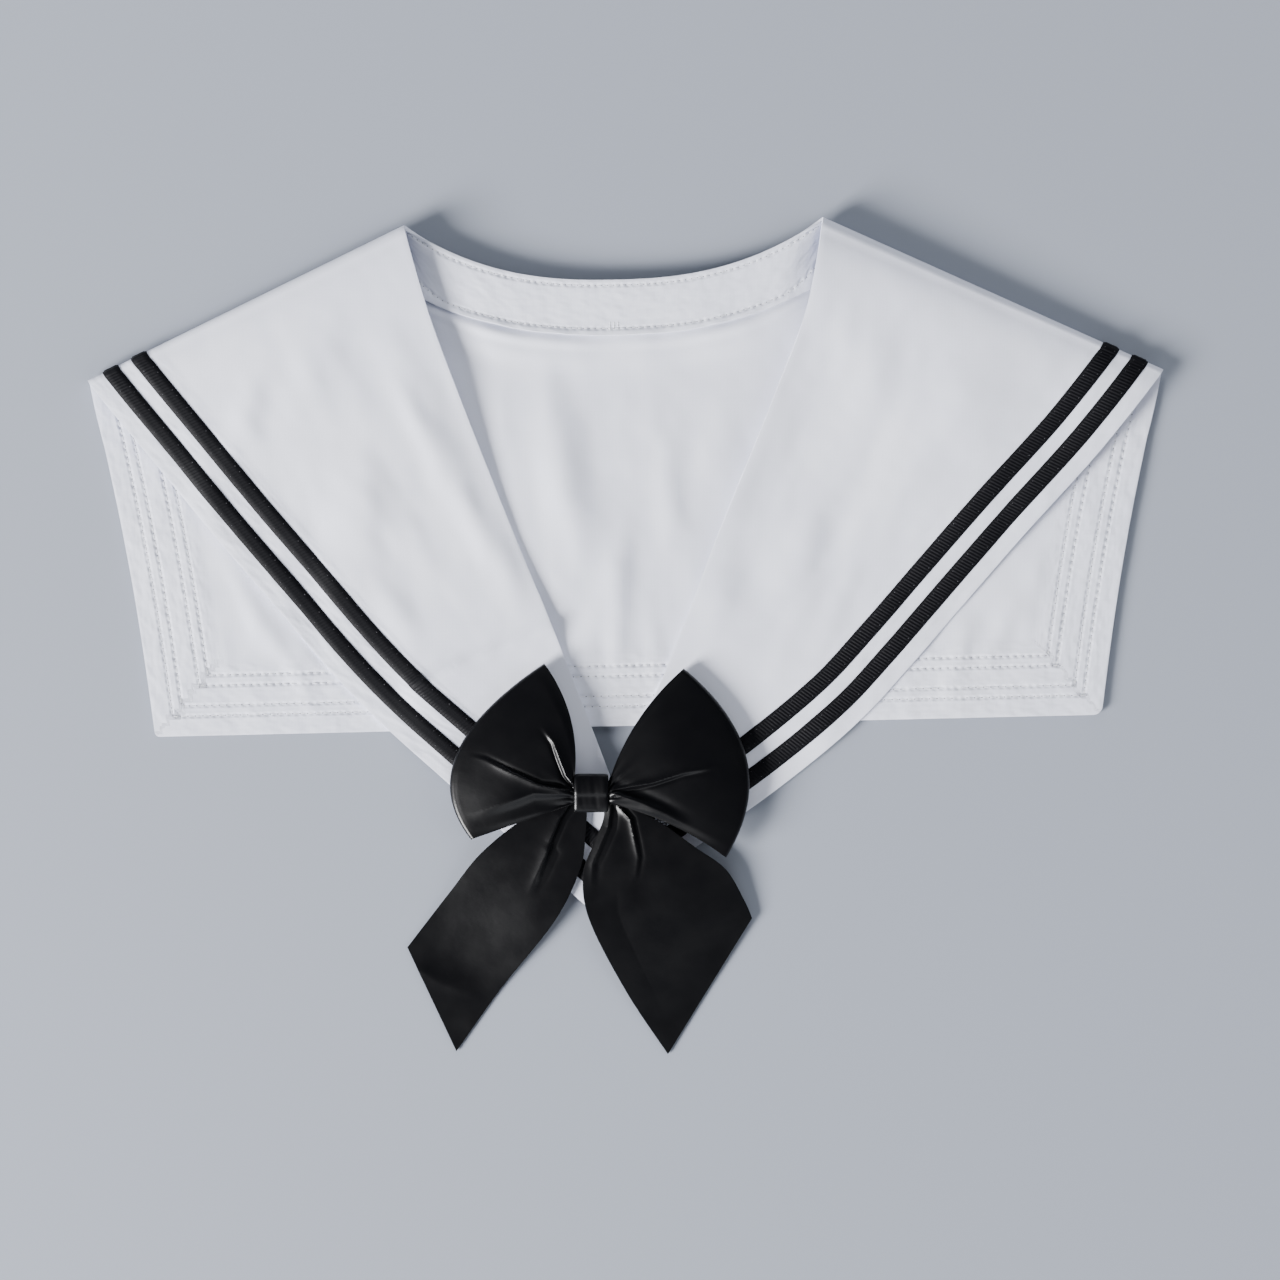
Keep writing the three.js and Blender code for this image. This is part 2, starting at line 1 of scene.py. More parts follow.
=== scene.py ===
import bpy
import math
import numpy as np
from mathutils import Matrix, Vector


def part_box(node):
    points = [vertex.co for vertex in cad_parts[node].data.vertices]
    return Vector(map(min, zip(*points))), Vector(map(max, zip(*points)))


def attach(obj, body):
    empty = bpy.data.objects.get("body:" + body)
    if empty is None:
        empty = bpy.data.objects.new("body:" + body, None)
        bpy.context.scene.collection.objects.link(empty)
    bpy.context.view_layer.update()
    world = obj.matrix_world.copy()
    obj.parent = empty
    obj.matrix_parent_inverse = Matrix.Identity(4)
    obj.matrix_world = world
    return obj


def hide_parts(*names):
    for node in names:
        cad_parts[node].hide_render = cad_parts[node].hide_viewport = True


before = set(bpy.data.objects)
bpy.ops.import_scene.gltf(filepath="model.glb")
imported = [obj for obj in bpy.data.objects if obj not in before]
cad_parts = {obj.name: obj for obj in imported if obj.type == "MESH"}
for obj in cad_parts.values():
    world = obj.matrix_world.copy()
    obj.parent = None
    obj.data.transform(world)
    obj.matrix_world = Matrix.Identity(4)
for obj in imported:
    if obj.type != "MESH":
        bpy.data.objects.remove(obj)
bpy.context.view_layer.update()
bpy.ops.object.select_all(action="DESELECT")


# The view, the table and the light
# The collar is seen from straight above, as it lies on a plain pale table. One large soft lamp
# shines from the lower left and a weak one from the near side. The other two lift the shadows
# and leave no gleam, so that black cloth stays black.

# In metres: the width that is seen, its middle and the level at which it is that wide
SEEN_WIDTH = 0.512
SEEN_MIDDLE = (0.0058, -0.0013)
SEEN_LEVEL = 0.003
TABLE_LEVEL = -0.0001
COOL_WHITE = (0.93, 0.96, 1.0)

camera_data = bpy.data.cameras.new("camera")
camera_data.lens = 85
camera_data.sensor_width = 36
camera = bpy.data.objects.new("camera", camera_data)
camera.location = (*SEEN_MIDDLE, SEEN_LEVEL + SEEN_WIDTH * camera_data.lens / camera_data.sensor_width)
bpy.context.collection.objects.link(camera)
bpy.context.scene.camera = camera


def soft_lamp(name, place, wide, watts, tint, gleams):
    lamp = bpy.data.lights.new(name, "AREA")
    lamp.size = wide
    lamp.energy = watts
    lamp.color = tint
    made = bpy.data.objects.new(name, lamp)
    made.location = place
    made.rotation_euler = (-Vector(place)).to_track_quat("-Z", "Y").to_euler()
    made.visible_glossy = gleams
    bpy.context.collection.objects.link(made)


soft_lamp("main_lamp", (-2.27, -1.35, 1.3), 1.15, 322, (1.0, 0.995, 1.0), gleams=True)
soft_lamp("right_lamp", (1.4, -0.2, 0.9), 1.2, 11, COOL_WHITE, gleams=False)
soft_lamp("far_lamp", (-0.1, 1.4, 0.9), 1.2, 13, COOL_WHITE, gleams=False)
soft_lamp("near_lamp", (0.4, -1.4, 0.9), 1.2, 7, COOL_WHITE, gleams=True)


# Adds a node to a material or to the sky: an input is given a value or another node's output
def add_node(material, kind, inputs, **settings):
    node = material.node_tree.nodes.new("ShaderNode" + kind)
    for name, value in settings.items():
        setattr(node, name, value)
    for name, value in inputs.items():
        if isinstance(value, bpy.types.NodeSocket):
            material.node_tree.links.new(value, node.inputs[name])
        else:
            node.inputs[name].default_value = value
    return node


def join(material, output, socket):
    material.node_tree.links.new(output, socket)


# Turns the values of one span into those of another
def spread(material, value, span, result, **settings):
    inputs = {"Value": value, "From Min": span[0], "From Max": span[1]}
    inputs.update({"To Min": result[0], "To Max": result[1]})
    return add_node(material, "MapRange", inputs, **settings).outputs["Result"]


# The room is dark overhead and paler towards the horizon
sky = bpy.data.worlds.new("room_light")
sky.use_nodes = True
sky_shader = sky.node_tree.nodes["Background"]
sky_shader.inputs["Color"].default_value = (0.74, 0.8, 0.92, 1)
sky_way = add_node(sky, "TexCoord", {}).outputs["Generated"]
sky_parts = add_node(sky, "SeparateXYZ", {"Vector": sky_way})
join(sky, spread(sky, sky_parts.outputs["Z"], (0.0, 0.4), (0.55, 0.11)), sky_shader.inputs["Strength"])
bpy.context.scene.world = sky


def new_material(name, looks):
    material = bpy.data.materials.new(name)
    material.use_nodes = True
    shader = material.node_tree.nodes["Principled BSDF"]
    for socket, value in looks.items():
        shader.inputs[socket].default_value = value
    return material, shader


bpy.ops.mesh.primitive_plane_add(size=6, location=(0, 0, TABLE_LEVEL))
table = bpy.context.object
table.name = "table"
table_top = new_material("table_top", {"Base Color": (0.28, 0.303, 0.355, 1), "Roughness": 0.9})[0]
table.data.materials.append(table_top)


# The collar cloth
# White cotton blend, two layers sewn along their edges and turned, 430 mm across the shoulders.
# It is one piece: the back panel lies face down and each front is folded over it at the shoulder.

# Sizes in millimetres, as in the solids
COTTON = 1.2  # the two layers together
RIBBON = 0.6
GAP = 0.3  # air between neighbouring pieces
HALF_SPAN = 214.6  # middle to a shoulder corner
FALL = 275  # neck points to the fronts' tips
NECK_DEPTH = 22.7  # how far the back neckline dips below the neck points
NECK_ROUND = 2.5  # power of the neckline's curve
SIDE_HOLLOW = 2.2  # how far the panel's sides curve in
BAND_WIDTH = 22
RIBBON_LINES = np.array([0, 6.5, 13.4, 18.7, 25.6])  # the cloth's edge and both ribbons' edges
STITCH_LINES = np.array([8.0, 12.1, 20.1, 24.2])  # the stitch rows along the ribbons
STITCH = 3.0
NECK_ROLL = 5  # radius of the shoulder fold at the neck point
CORNER_ROLL = 2.5  # and at the shoulder corner
NECK_RISE = 4  # the back neckline above the panel
NECK_RUN = 45  # run over which the panel comes down from the neckline
SETTLE = 130  # run over which a front comes down from its fold
SLACK = 0.2  # looseness of a front on the panel
CROSSING = 0.85  # share of the way from the hem to the knot in which the fronts cross over
HEM_SPREAD = 0.86  # how the plain columns' spacing at the hem compares with the shoulder's
HEM_ROUNDS = {"left": 1.6, "right": 3.2}  # radius of the panel's corners at the hem
FAR_IN = 145  # distance in from the edge of all that lies well inside it

PANEL_LEVEL = RIBBON + GAP + COTTON / 2
LAPEL_LEVEL = PANEL_LEVEL + COTTON + GAP + SLACK
OVER_LEVEL = PANEL_LEVEL + COTTON + RIBBON + 2 * GAP

# The outline's corners: x as a share of HALF_SPAN and y as a share of FALL
CORNERS = {
    "left": {
        "neck": (-0.411, 0.597),
        "shoulder": (-1, 0.373),
        "hem": (-0.877, -0.1433),
        "tip_inner": (0.021, -0.3),
        "tip_outer": (-0.0652, -0.3945),
    },
    "right": {
        "neck": (0.3663, 0.6087),
        "shoulder": (1, 0.389),
        "hem": (0.888, -0.111),
        "tip_inner": (-0.056, -0.2764),
        "tip_outer": (0.0093, -0.3673),
    },
}

# How far each front's edges bow out from their straight lines, as shares of the edge's length
EDGE_SHARES = (0.14, 0.28, 0.4, 0.52, 0.62, 0.74, 0.87)
EDGE_BOWS = {
    "left_inner": (0.011, 0.012, 0.0105, 0.008, 0.004, 0.002, 0.001),
    "left_outer": (0.01, 0.0204, 0.0266, 0.033, 0.0316, 0.0218, 0.0105),
    "right_inner": (0.0245, 0.025, 0.022, 0.0185, 0.0185, 0.016, 0.008),
    "right_outer": (0.0177, 0.0268, 0.0366, 0.0468, 0.0517, 0.043, 0.024),
}

# The knot's middle on the drawing, and from the solids' own knot where the drawing lies in the frame
KNOT_AT = np.array([-0.0634 * HALF_SPAN, -0.2233 * FALL])
knot_low, knot_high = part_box("knot")
knot_x = (knot_low.x + knot_high.x) * 500
knot_y = (knot_low.y + knot_high.y) * 500
DRAWING_AT = np.array([knot_x - KNOT_AT[0], knot_y - KNOT_AT[1], 0])


def smooth(share):
    share = np.clip(share, 0, 1)
    return share * share * (3 - 2 * share)


def mix(a, b, share):
    return a + (b - a) * share


def unit(vectors):
    return vectors / np.linalg.norm(vectors, axis=-1, keepdims=True)


def cross_flat(a, b):
    return a[..., 0] * b[..., 1] - a[..., 1] * b[..., 0]


# How far along a line of points each of them lies
def run_along(points):
    return np.concatenate([[0], np.cumsum(np.linalg.norm(np.diff(points, axis=0), axis=1))])


# Rows of values read off at places that lie between the known ones
def read_off(places, known, values):
    return np.stack([np.interp(places, known, column) for column in values.T], axis=-1)


# A smooth line through points, read by shares of its length
class Line:
    def __init__(self, points):
        self.points = np.array(points, float)
        self.shares = np.linspace(0, 1, 201)
        self.run = run_along(self.raw(self.shares))
        self.length = self.run[-1]

    def raw(self, share):
        last = len(self.points) - 1
        place = np.asarray(share, float) * last
        first = np.minimum(np.floor(place).astype(int), last - 1)
        t = (place - first)[..., None]
        p0 = self.points[np.maximum(first - 1, 0)]
        p1 = self.points[first]
        p2 = self.points[first + 1]
        p3 = self.points[np.minimum(first + 2, last)]
        a = (p2 - p0) / 2
        b = (p3 - p1) / 2
        return (2 * p1 - 2 * p2 + a + b) * t**3 + (-3 * p1 + 3 * p2 - 2 * a - b) * t**2 + a * t + p1

    def raw_share(self, share):
        return np.interp(np.asarray(share, float) * self.length, self.run, self.shares)

    def at(self, share):
        return self.raw(self.raw_share(share))

    def direction(self, share):
        middle = self.raw_share(share)
        return unit(self.raw(np.minimum(middle + 1e-4, 1)) - self.raw(np.maximum(middle - 1e-4, 0)))


def on_plan(shares):
    return np.array([shares[0] * HALF_SPAN, shares[1] * FALL])


def bowed_edge(start, end, bows, outward):
    line = end - start
    out = np.array([line[1], -line[0]]) * outward
    inner = [mix(start, end, share) + out * bow for share, bow in zip(EDGE_SHARES, bows)]
    return Line([start, *inner, end])


SIDES = {}
for name, side in (("left", -1), ("right", 1)):
    corners = {corner: on_plan(shares) for corner, shares in CORNERS[name].items()}
    fold = corners["neck"] - corners["shoulder"]
    corners["side"] = side
    corners["down"] = unit(np.array([-side * fold[1], side * fold[0]]))
    for edge, top, foot in (("inner", "neck", "tip_inner"), ("outer", "shoulder", "tip_outer")):
        bows = EDGE_BOWS[f"{name}_{edge}"]
        corners[edge] = bowed_edge(corners[top], corners[foot], bows, -side)
    SIDES[name] = corners

HEM_LEFT = SIDES["left"]["hem"]
HEM_RIGHT = SIDES["right"]["hem"]
HEM_LINE = unit(HEM_RIGHT - HEM_LEFT)
HEM_UP = np.array([-HEM_LINE[1], HEM_LINE[0]])
HEM_MIDDLE = (HEM_LEFT + HEM_RIGHT) / 2


def above_hem(plan):
    return (plan - HEM_LEFT) @ HEM_UP


# Broad soft swells in the cloth: middle, half length, half width, turn in degrees and height
LAPEL_SWELLS = [
    (-150, 92, 17, 6, 70, 2.0),
    (-104, 55, 24, 12, 76, 3.4),
    (-64, 54, 40, 6.5, 116, 1.9),
    (-84, 88, 18, 4, 118, 1.1),
    (-45, 22, 20, 6, 114, 1.4),
    (-124, 112, 26, 9, 66, 1.5),
    (-168, 62, 14, 7, 100, 1.1),
    (-92, 12, 18, 6, 128, 1.2),
    (46, 67, 52, 10, 68, 2.6),
    (70, 34, 26, 9, 60, 2.0),
    (134, 88, 44, 22, 60, 3.4),
    (92, 118, 30, 13, 118, 1.6),
    (104, 56, 24, 8, 52, 1.6),
    (36, 10, 18, 7, 66, 1.8),
]
PANEL_SWELLS = [
    (17, 58, 22, 6.5, 94, 2.3),
    (-23, 62, 32, 9.5, 104, 3.2),
    (-4, 26, 20, 6, 80, 1.5),
    (36, 74, 16, 6, 70, 1.2),
    (-3, 2, 20, 3.6, 88, 1.0),
    (12, -8, 20, 3.6, 94, 1.0),
    (-16, -12, 18, 3.6, 84, 0.9),
    (-150, 10, 26, 4, 112, 1.2),
    (-138, -4, 24, 4, 122, 1.2),
    (-124, -10, 18, 4, 130, 1.0),
    (-160, -8, 18, 3.4, 98, 0.8),
    (150, 2, 24, 5, 62, 1.2),
    (134, -6, 22, 4.5, 70, 1.0),
    (166, 26, 20, 4, 78, 0.9),
]

# Small soft wrinkles: height, length, width and seed, and the turn of the lengths in degrees
LAPEL_WRINKLES = [(0.6, 34, 12, 3), (0.25, 15, 6, 8)]
PANEL_WRINKLES = [(0.5, 30, 10, 5), (0.2, 12, 5, 6)]
WRINKLE_TURNS = {"left": 114, "right": 66, "panel": 96}
NET_POINTS = 160

# The cloth puffs up below each shoulder fold
FOLD_PUFF = 2.6
FOLD_PUFF_RISE = 7
FOLD_PUFF_RUN = 30

# The line that was pressed into the left front when it was packed
PRESSED_FROM = np.array([-81.0, -17.2])
PRESSED_TO = np.array([-31.0, 3.8])
PRESSED_TALL = 3.9


def direction_of(turn):
    return np.array([math.cos(math.radians(turn)), math.sin(math.radians(turn))])


def swell_height(swells, plan):
    total = np.zeros(plan.shape[:-1])
    for x, y, long, broad, turn, tall in swells:
        along = direction_of(turn)
        apart = plan - np.array([x, y])
        a = apart @ along / long
        b = cross_flat(along, apart) / broad
        total += tall * np.exp(-(a**2) - b**2)
    return total


# A net of heights for each size of wrinkle, drawn out along one direction
def wrinkles(plan, turn, sizes):
    along = direction_of(turn)
    total = 0
    for tall, long, broad, seed in sizes:
        net = np.random.default_rng(seed).uniform(-1, 1, (NET_POINTS, NET_POINTS))
        a = plan @ along / long + NET_POINTS / 2
        b = cross_flat(along, plan) / broad + NET_POINTS / 2
        i = np.floor(a).astype(int)
        j = np.floor(b).astype(int)
        low = mix(net[i, j], net[i + 1, j], smooth(a - i))
        high = mix(net[i, j + 1], net[i + 1, j + 1], smooth(a - i))
        total = total + tall * mix(low, high, smooth(b - j))
    return total


# On its upper side the pressed line drops at once by nearly half and then runs out, and on its
# lower side it slopes away evenly
def pressed_height(plan):
    along = unit(PRESSED_TO - PRESSED_FROM)
    length = np.linalg.norm(PRESSED_TO - PRESSED_FROM)
    apart = plan - PRESSED_FROM
    share = apart @ along / length
    beside = cross_flat(along, apart)
    within = smooth(share * 4 + 1) * smooth((1 - share) * 4 + 1)
    above = 0.55 * np.exp(-beside / 15) + 0.45 * np.exp(-((beside / 1.6) ** 2))
    return PRESSED_TALL * within * np.where(beside > 0, above, np.exp(beside / 9))


# What lifts a front off its plain shape: it all fades towards the shoulder fold and the knot
def lapel_swell(name, plan, away):
    from_knot = np.linalg.norm(plan - KNOT_AT, axis=-1)
    from_fold = smooth(away / 40)
    free = from_fold * smooth((from_knot - 62) / 50)
    height = free * swell_height(LAPEL_SWELLS, plan)
    height += free * wrinkles(plan, WRINKLE_TURNS[name], LAPEL_WRINKLES)
    run = np.maximum(away, 0)
    height += FOLD_PUFF * (1 - np.exp(-run / FOLD_PUFF_RISE)) * np.exp(-((run / FOLD_PUFF_RUN) ** 2))
    if name == "left":
        height += from_fold * smooth((from_knot - 50) / 25) * pressed_height(plan)
    return height


# The left front crosses over the right one between the hem and the knot
def lapel_rest(side, plan):
    dropped = smooth(np.minimum(above_hem(plan), 0) / (CROSSING * above_hem(KNOT_AT)))
    return mix(LAPEL_LEVEL, OVER_LEVEL if side < 0 else PANEL_LEVEL, dropped)


# The strips between the edge, the ribbons' edges and the neck or the middle, each in fine steps
SIDE_STRIPS = 8
NECK_STRIPS = 12
STRIPS = np.concatenate(
    [np.linspace(0, 1, 7)[:-1], np.linspace(1, 4, 10)[:-1], np.linspace(4, SIDE_STRIPS, 49)]
)
NECK_LINES = np.linspace(SIDE_STRIPS, SIDE_STRIPS + NECK_STRIPS, 61)[1:-1]
PANEL_STRIPS = np.concatenate([STRIPS, NECK_LINES, 2 * SIDE_STRIPS + NECK_STRIPS - STRIPS[::-1]])

# The steps round half a shoulder fold, and down a front from its fold to its tip
TURNS = np.linspace(0, math.pi / 2, 11)
PARTS = np.linspace(0, 1, 105)
STRAIGHT_FROM = 12 / 13  # share of a front past which its ribbons keep their direction

# The panel's rows: the fold to row 3, the band's lower edge at 4, and from 8 on the ribbons' edges
FOLD_ROW = 3
BAND_ROW = 4
RIBBON_ROW = 8
HEM_ROW = 12
ROWS = np.concatenate(
    [
        np.linspace(0, FOLD_ROW, 11)[:-1],
        np.linspace(FOLD_ROW, BAND_ROW, 5)[:-1],
        np.linspace(BAND_ROW, 4.5, 21)[:-1],
        np.linspace(4.5, RIBBON_ROW, 57)[:-1],
        np.linspace(RIBBON_ROW, 11, 10)[:-1],
        np.linspace(11, HEM_ROW, 7),
    ]
)


# Shares across a row at which the ribbons' edges and the plain strips' edges lie
def strip_shares(start, end, edge_direction):
    row = end - start
    length = np.linalg.norm(row)
    slant = abs(cross_flat(row / length, edge_direction))
    ribbons = RIBBON_LINES / (slant * length)
    return np.concatenate([ribbons, np.linspace(ribbons[-1], 1, 5)[1:]])


def roll_radius(share):
    return mix(CORNER_ROLL, NECK_ROLL, share)


def roll_points(start, direction, down, radius, turn, way):
    away = radius * (1 - np.cos(turn))
    plan = start + direction * (away / (direction @ down))[..., None]
    return np.column_stack([plan, PANEL_LEVEL + radius * (1 + way * np.sin(turn))])


# A front, row by row from the middle of its shoulder fold to its tip
def front_rows(name):
    corners = SIDES[name]
    side, down = corners["side"], corners["down"]
    outer, inner = corners["outer"], corners["inner"]
    outer_start = outer.direction(0)
    inner_start = inner.direction(0)
    whole = range(SIDE_STRIPS + 1)
    fold_shares = strip_shares(corners["shoulder"], corners["neck"], outer_start)
    shares = np.interp(STRIPS, whole, fold_shares)[:, None]
    radius = roll_radius(shares[:, 0])
    start = mix(corners["shoulder"], corners["neck"], shares)
    direction = unit(mix(outer_start, inner_start, shares))
    rows = [roll_points(start, direction, down, radius, turn, 1) for turn in TURNS]
    outer_from = CORNER_ROLL / ((outer_start @ down) * outer.length)
    inner_from = NECK_ROLL / ((inner_start @ down) * inner.length)
    for part in PARTS[1:]:
        outer_point = outer.at(mix(outer_from, 1, part))
        inner_point = inner.at(mix(inner_from, 1, part))
        edge_direction = outer.direction(mix(outer_from, 1, min(part, STRAIGHT_FROM)))
        across = np.interp(STRIPS, whole, strip_shares(outer_point, inner_point, edge_direction))
        plan = mix(outer_point, inner_point, across[:, None])
        away = (plan - corners["shoulder"]) @ down - radius
        top = PANEL_LEVEL + 2 * radius
        height = mix(top, lapel_rest(side, plan), smooth(away / SETTLE))
        rows.append(np.column_stack([plan, height + lapel_swell(name, plan, away)]))
    return np.array(rows)


def neckline(share):
    chord = mix(SIDES["left"]["neck"], SIDES["right"]["neck"], share)
    return chord - np.array([0, NECK_DEPTH * (1 - abs(2 * share - 1) ** NECK_ROUND)])


def band_reach(share):
    chord = np.linalg.norm(SIDES["right"]["neck"] - SIDES["left"]["neck"])
    steepness = NECK_ROUND * abs(2 * share - 1) ** (NECK_ROUND - 1)
    return BAND_WIDTH * math.hypot(1, 2 * NECK_DEPTH * steepness / chord)


# Shares down a column of the panel at whole rows: the fold's end, the band's edge, the hem's lines
def column_shares(top, bottom, first, reach):
    length = np.linalg.norm(bottom - top)
    lines = (1 - RIBBON_LINES / above_hem(top))[::-1]
    plain = np.linspace(reach / length, lines[0], 5)
    return np.concatenate([[first / length], plain, lines[1:]])


def rounded_corner(plan, from_side, from_hem, inward, radius):
    a = np.maximum(radius - from_side, 0)
    b = np.maximum(radius - from_hem, 0)
    both = np.hypot(a, b)
    scale = np.where((a > 0) & (b > 0), np.maximum(a, b) / np.maximum(both, 1e-9), 1)
    return plan + inward * (a * (1 - scale))[:, None] + HEM_UP * (b * (1 - scale))[:, None]


def side_column(name, strip):
    corners = SIDES[name]
    shoulder, neck, hem = corners["shoulder"], corners["neck"], corners["hem"]
    side, down = corners["side"], corners["down"]
    sideways = unit(hem - shoulder)
    top_shares = strip_shares(shoulder, neck, sideways)
    width = np.linalg.norm(HEM_MIDDLE - hem)
    lines = RIBBON_LINES / (abs(cross_flat(HEM_LINE, sideways)) * width)
    plain_to = HEM_SPREAD * np.linalg.norm(neck - shoulder) / width
    low_shares = np.concatenate([lines, np.linspace(lines[-1], plain_to, 5)[1:]])
    hollows = np.concatenate([np.ones(5), 1 - top_shares[5:]])
    whole = range(SIDE_STRIPS + 1)
    top_share = np.interp(strip, whole, top_shares)
    top = mix(shoulder, neck, top_share)
    bottom = mix(hem, HEM_MIDDLE, np.interp(strip, whole, low_shares))
    radius = roll_radius(top_share)
    direction = unit(bottom - top)
    first = radius / (direction @ down)
    known_rows = range(FOLD_ROW, HEM_ROW + 1)
    shares = np.interp(ROWS, known_rows, column_shares(top, bottom, first, band_reach(0)))
    plan = mix(top, bottom, shares[:, None])
    bend = np.interp(strip, whole, hollows) * SIDE_HOLLOW * np.sin(np.pi * shares)
    plan[:, 0] -= side * bend * np.clip(ROWS - FOLD_ROW, 0, 1)
    from_side = np.full(len(ROWS), np.interp(strip, range(5), RIBBON_LINES, right=FAR_IN))
    from_hem = np.interp(ROWS, range(RIBBON_ROW, HEM_ROW + 1), RIBBON_LINES[::-1], left=FAR_IN)
    plan = rounded_corner(plan, from_side, from_hem, HEM_LINE * -side, HEM_ROUNDS[name])
    column = np.column_stack([plan, np.full(len(ROWS), PANEL_LEVEL)])
    for k in np.flatnonzero(ROWS <= FOLD_ROW):
        turn = math.pi / 2 * ROWS[k] / FOLD_ROW
        column[k] = roll_points(top[None], direction[None], down, np.array([radius]), turn, -1)[0]
    return column


def neck_column(strip):
    share = (strip - SIDE_STRIPS) / NECK_STRIPS
    top = neckline(share)
    left_foot = side_column("left", SIDE_STRIPS)[-1, :2]
    right_foot = side_column("right", SIDE_STRIPS)[-1, :2]
    bottom = mix(left_foot, right_foot, share)
    length = np.linalg.norm(bottom - top)
    shares = column_shares(top, bottom, 0, band_reach(share))
    down_column = np.interp(ROWS, [0, *range(BAND_ROW, HEM_ROW + 1)], shares)
    rise = mix(NECK_ROLL, NECK_RISE, math.sin(math.pi * share))
    height = PANEL_LEVEL + rise * (1 - smooth(down_column * length / NECK_RUN))
    return np.column_stack([mix(top, bottom, down_column[:, None]), height])


# The panel rests on the table, so its swells and wrinkles only lift it, with a soft start
def panel_lift(plan):
    start = 0.25
    raised = swell_height(PANEL_SWELLS, plan) + wrinkles(plan, WRINKLE_TURNS["panel"], PANEL_WRINKLES)
    return smooth((ROWS - FOLD_ROW) / 2)[None] * start * np.log1p(np.exp(raised / start))


# Below the neck band the cloth is drawn up in one soft fold and a fainter one
def band_pull(columns):
    plan = columns[..., :2]
    below_band = ROWS > BAND_ROW
    seam_at = plan[:, np.flatnonzero(ROWS == BAND_ROW)[0], None]
    below = np.linalg.norm(plan - seam_at, axis=-1) * below_band
    beside_band = len(STRIPS) - 4
    middle = np.zeros(len(columns))
    middle[beside_band : len(columns) - beside_band] = 1
    pulled = 0.9 - 0.5 * np.cos(plan[..., 0] * 0.062) + 0.2 * np.sin(plan[..., 0] * 0.21)
    puffed = np.exp(-(((below - 3.2) / 2.1) ** 2)) + 0.7 * np.exp(-(((below - 8) / 5) ** 2))
    return middle[:, None] * pulled * puffed * below_band


# The panel, row by row from the shoulders and the neckline to the hem
def panel_rows():
    left = [side_column("left", strip) for strip in STRIPS]
    right = [side_column("right", strip) for strip in STRIPS]
    neck = []
    for strip in NECK_LINES:
        column = neck_column(strip)
        from_left = strip - SIDE_STRIPS
        from_right = SIDE_STRIPS + NECK_STRIPS - strip
        column = mix(left[-1], column, smooth(from_left))
        neck.append(mix(right[-1], column, smooth(from_right)))
    columns = np.array([*left, *neck, *right[::-1]])
    pull = band_pull(columns)
    columns[..., 2] += panel_lift(columns[..., :2])
    columns[..., 2] += pull
    return columns.transpose(1, 0, 2)


# The faces between the point numbers of a grid
def grid_faces(numbers, turned):
    corners = [numbers[:-1, :-1], numbers[:-1, 1:], numbers[1:, 1:], numbers[1:, :-1]]
    faces = np.stack(corners, axis=-1).reshape(-1, 4)
    return (faces[:, ::-1] if turned else faces).tolist()


def grid_numbers(grid, first=0):
    return first + np.arange(grid.shape[0] * grid.shape[1]).reshape(grid.shape[:2])


# The way that each point of a sheet faces, turned so that a point a third of the way in faces up
def facing_up(grid):
    leans = unit(np.cross(np.gradient(grid, axis=0), np.gradient(grid, axis=1)))
    return -leans if leans[len(leans) // 3, leans.shape[1] // 3, 2] < 0 else leans


# A mesh in millimetres of the drawing becomes an object in metres of the frame
def new_piece(name, points, faces):
    mesh = bpy.data.meshes.new(name)
    mesh.from_pydata(((np.asarray(points) + DRAWING_AT) / 1000).tolist(), [], faces)
    mesh.update()
    piece = bpy.data.objects.new(name, mesh)
    bpy.context.collection.objects.link(piece)
    return piece


def select_only(piece):
    bpy.ops.object.select_all(action="DESELECT")
    piece.select_set(True)
    bpy.context.view_layer.objects.active = piece


# Gives an open sheet its thickness and rounds the rim
def thicken(piece, thick, round_rim, steps):
    wall = piece.modifiers.new("wall", "SOLIDIFY")
    wall.thickness = thick / 1000
    wall.offset = 0
    rim = piece.modifiers.new("rim", "BEVEL")
    rim.width = round_rim / 1000
    rim.segments = steps
    rim.limit_method = "ANGLE"
    rim.angle_limit = math.radians(55)
    select_only(piece)
    for modifier in (wall.name, rim.name):
        bpy.ops.object.modifier_apply(modifier=modifier)
    piece.data.shade_smooth()
    piece.select_set(False)


# Maps each point's distance in from the cloth's edge and its run along it, in centimetres, for
# what the stitch rows do to the cloth
def map_seams(piece, places):
    corner_points = np.zeros(len(piece.data.loops), int)
    piece.data.loops.foreach_get("vertex_index", corner_points)
    seam_map = piece.data.uv_layers.new(name="seams")
    seam_map.data.foreach_set("uv", places[corner_points].ravel())


fronts = {name: front_rows(name) for name in SIDES}
panel = panel_rows()
panel_count = panel.shape[1]
side_count = len(STRIPS)

points = [panel.reshape(-1, 3)]
faces = grid_faces(grid_numbers(panel), False)
inward = np.interp(STRIPS, [*range(5), SIDE_STRIPS], [*RIBBON_LINES, FAR_IN])
from_sides = np.concatenate([inward, np.full(len(NECK_LINES), FAR_IN), inward[::-1]])
hem_lines = [BAND_ROW, *range(RIBBON_ROW, HEM_ROW + 1)]
from_hem = np.interp(ROWS, hem_lines, [FAR_IN, *RIBBON_LINES[::-1]])
panel_in = np.minimum(from_sides[None, :], from_hem[:, None])
panel_run = np.where(from_sides[None, :] < from_hem[:, None], panel[..., 1], panel[..., 0])
seams = [np.stack([panel_in, panel_run], axis=-1).reshape(-1, 2)]

# Each front starts from the panel's first row, the crest of the shoulder fold
for name, turned in (("left", True), ("right", False)):
    rows = fronts[name][1:]
    crest = np.arange(side_count) if name == "left" else panel_count - 1 - np.arange(side_count)
    numbers = grid_numbers(rows, first=sum(len(part) for part in points))
    faces += grid_faces(np.vstack([crest, numbers]), turned)
    points.append(rows.reshape(-1, 3))
    inset = np.broadcast_to(inward, rows.shape[:2])
    seams.append(np.stack([inset, rows[..., 1]], axis=-1).reshape(-1, 2))

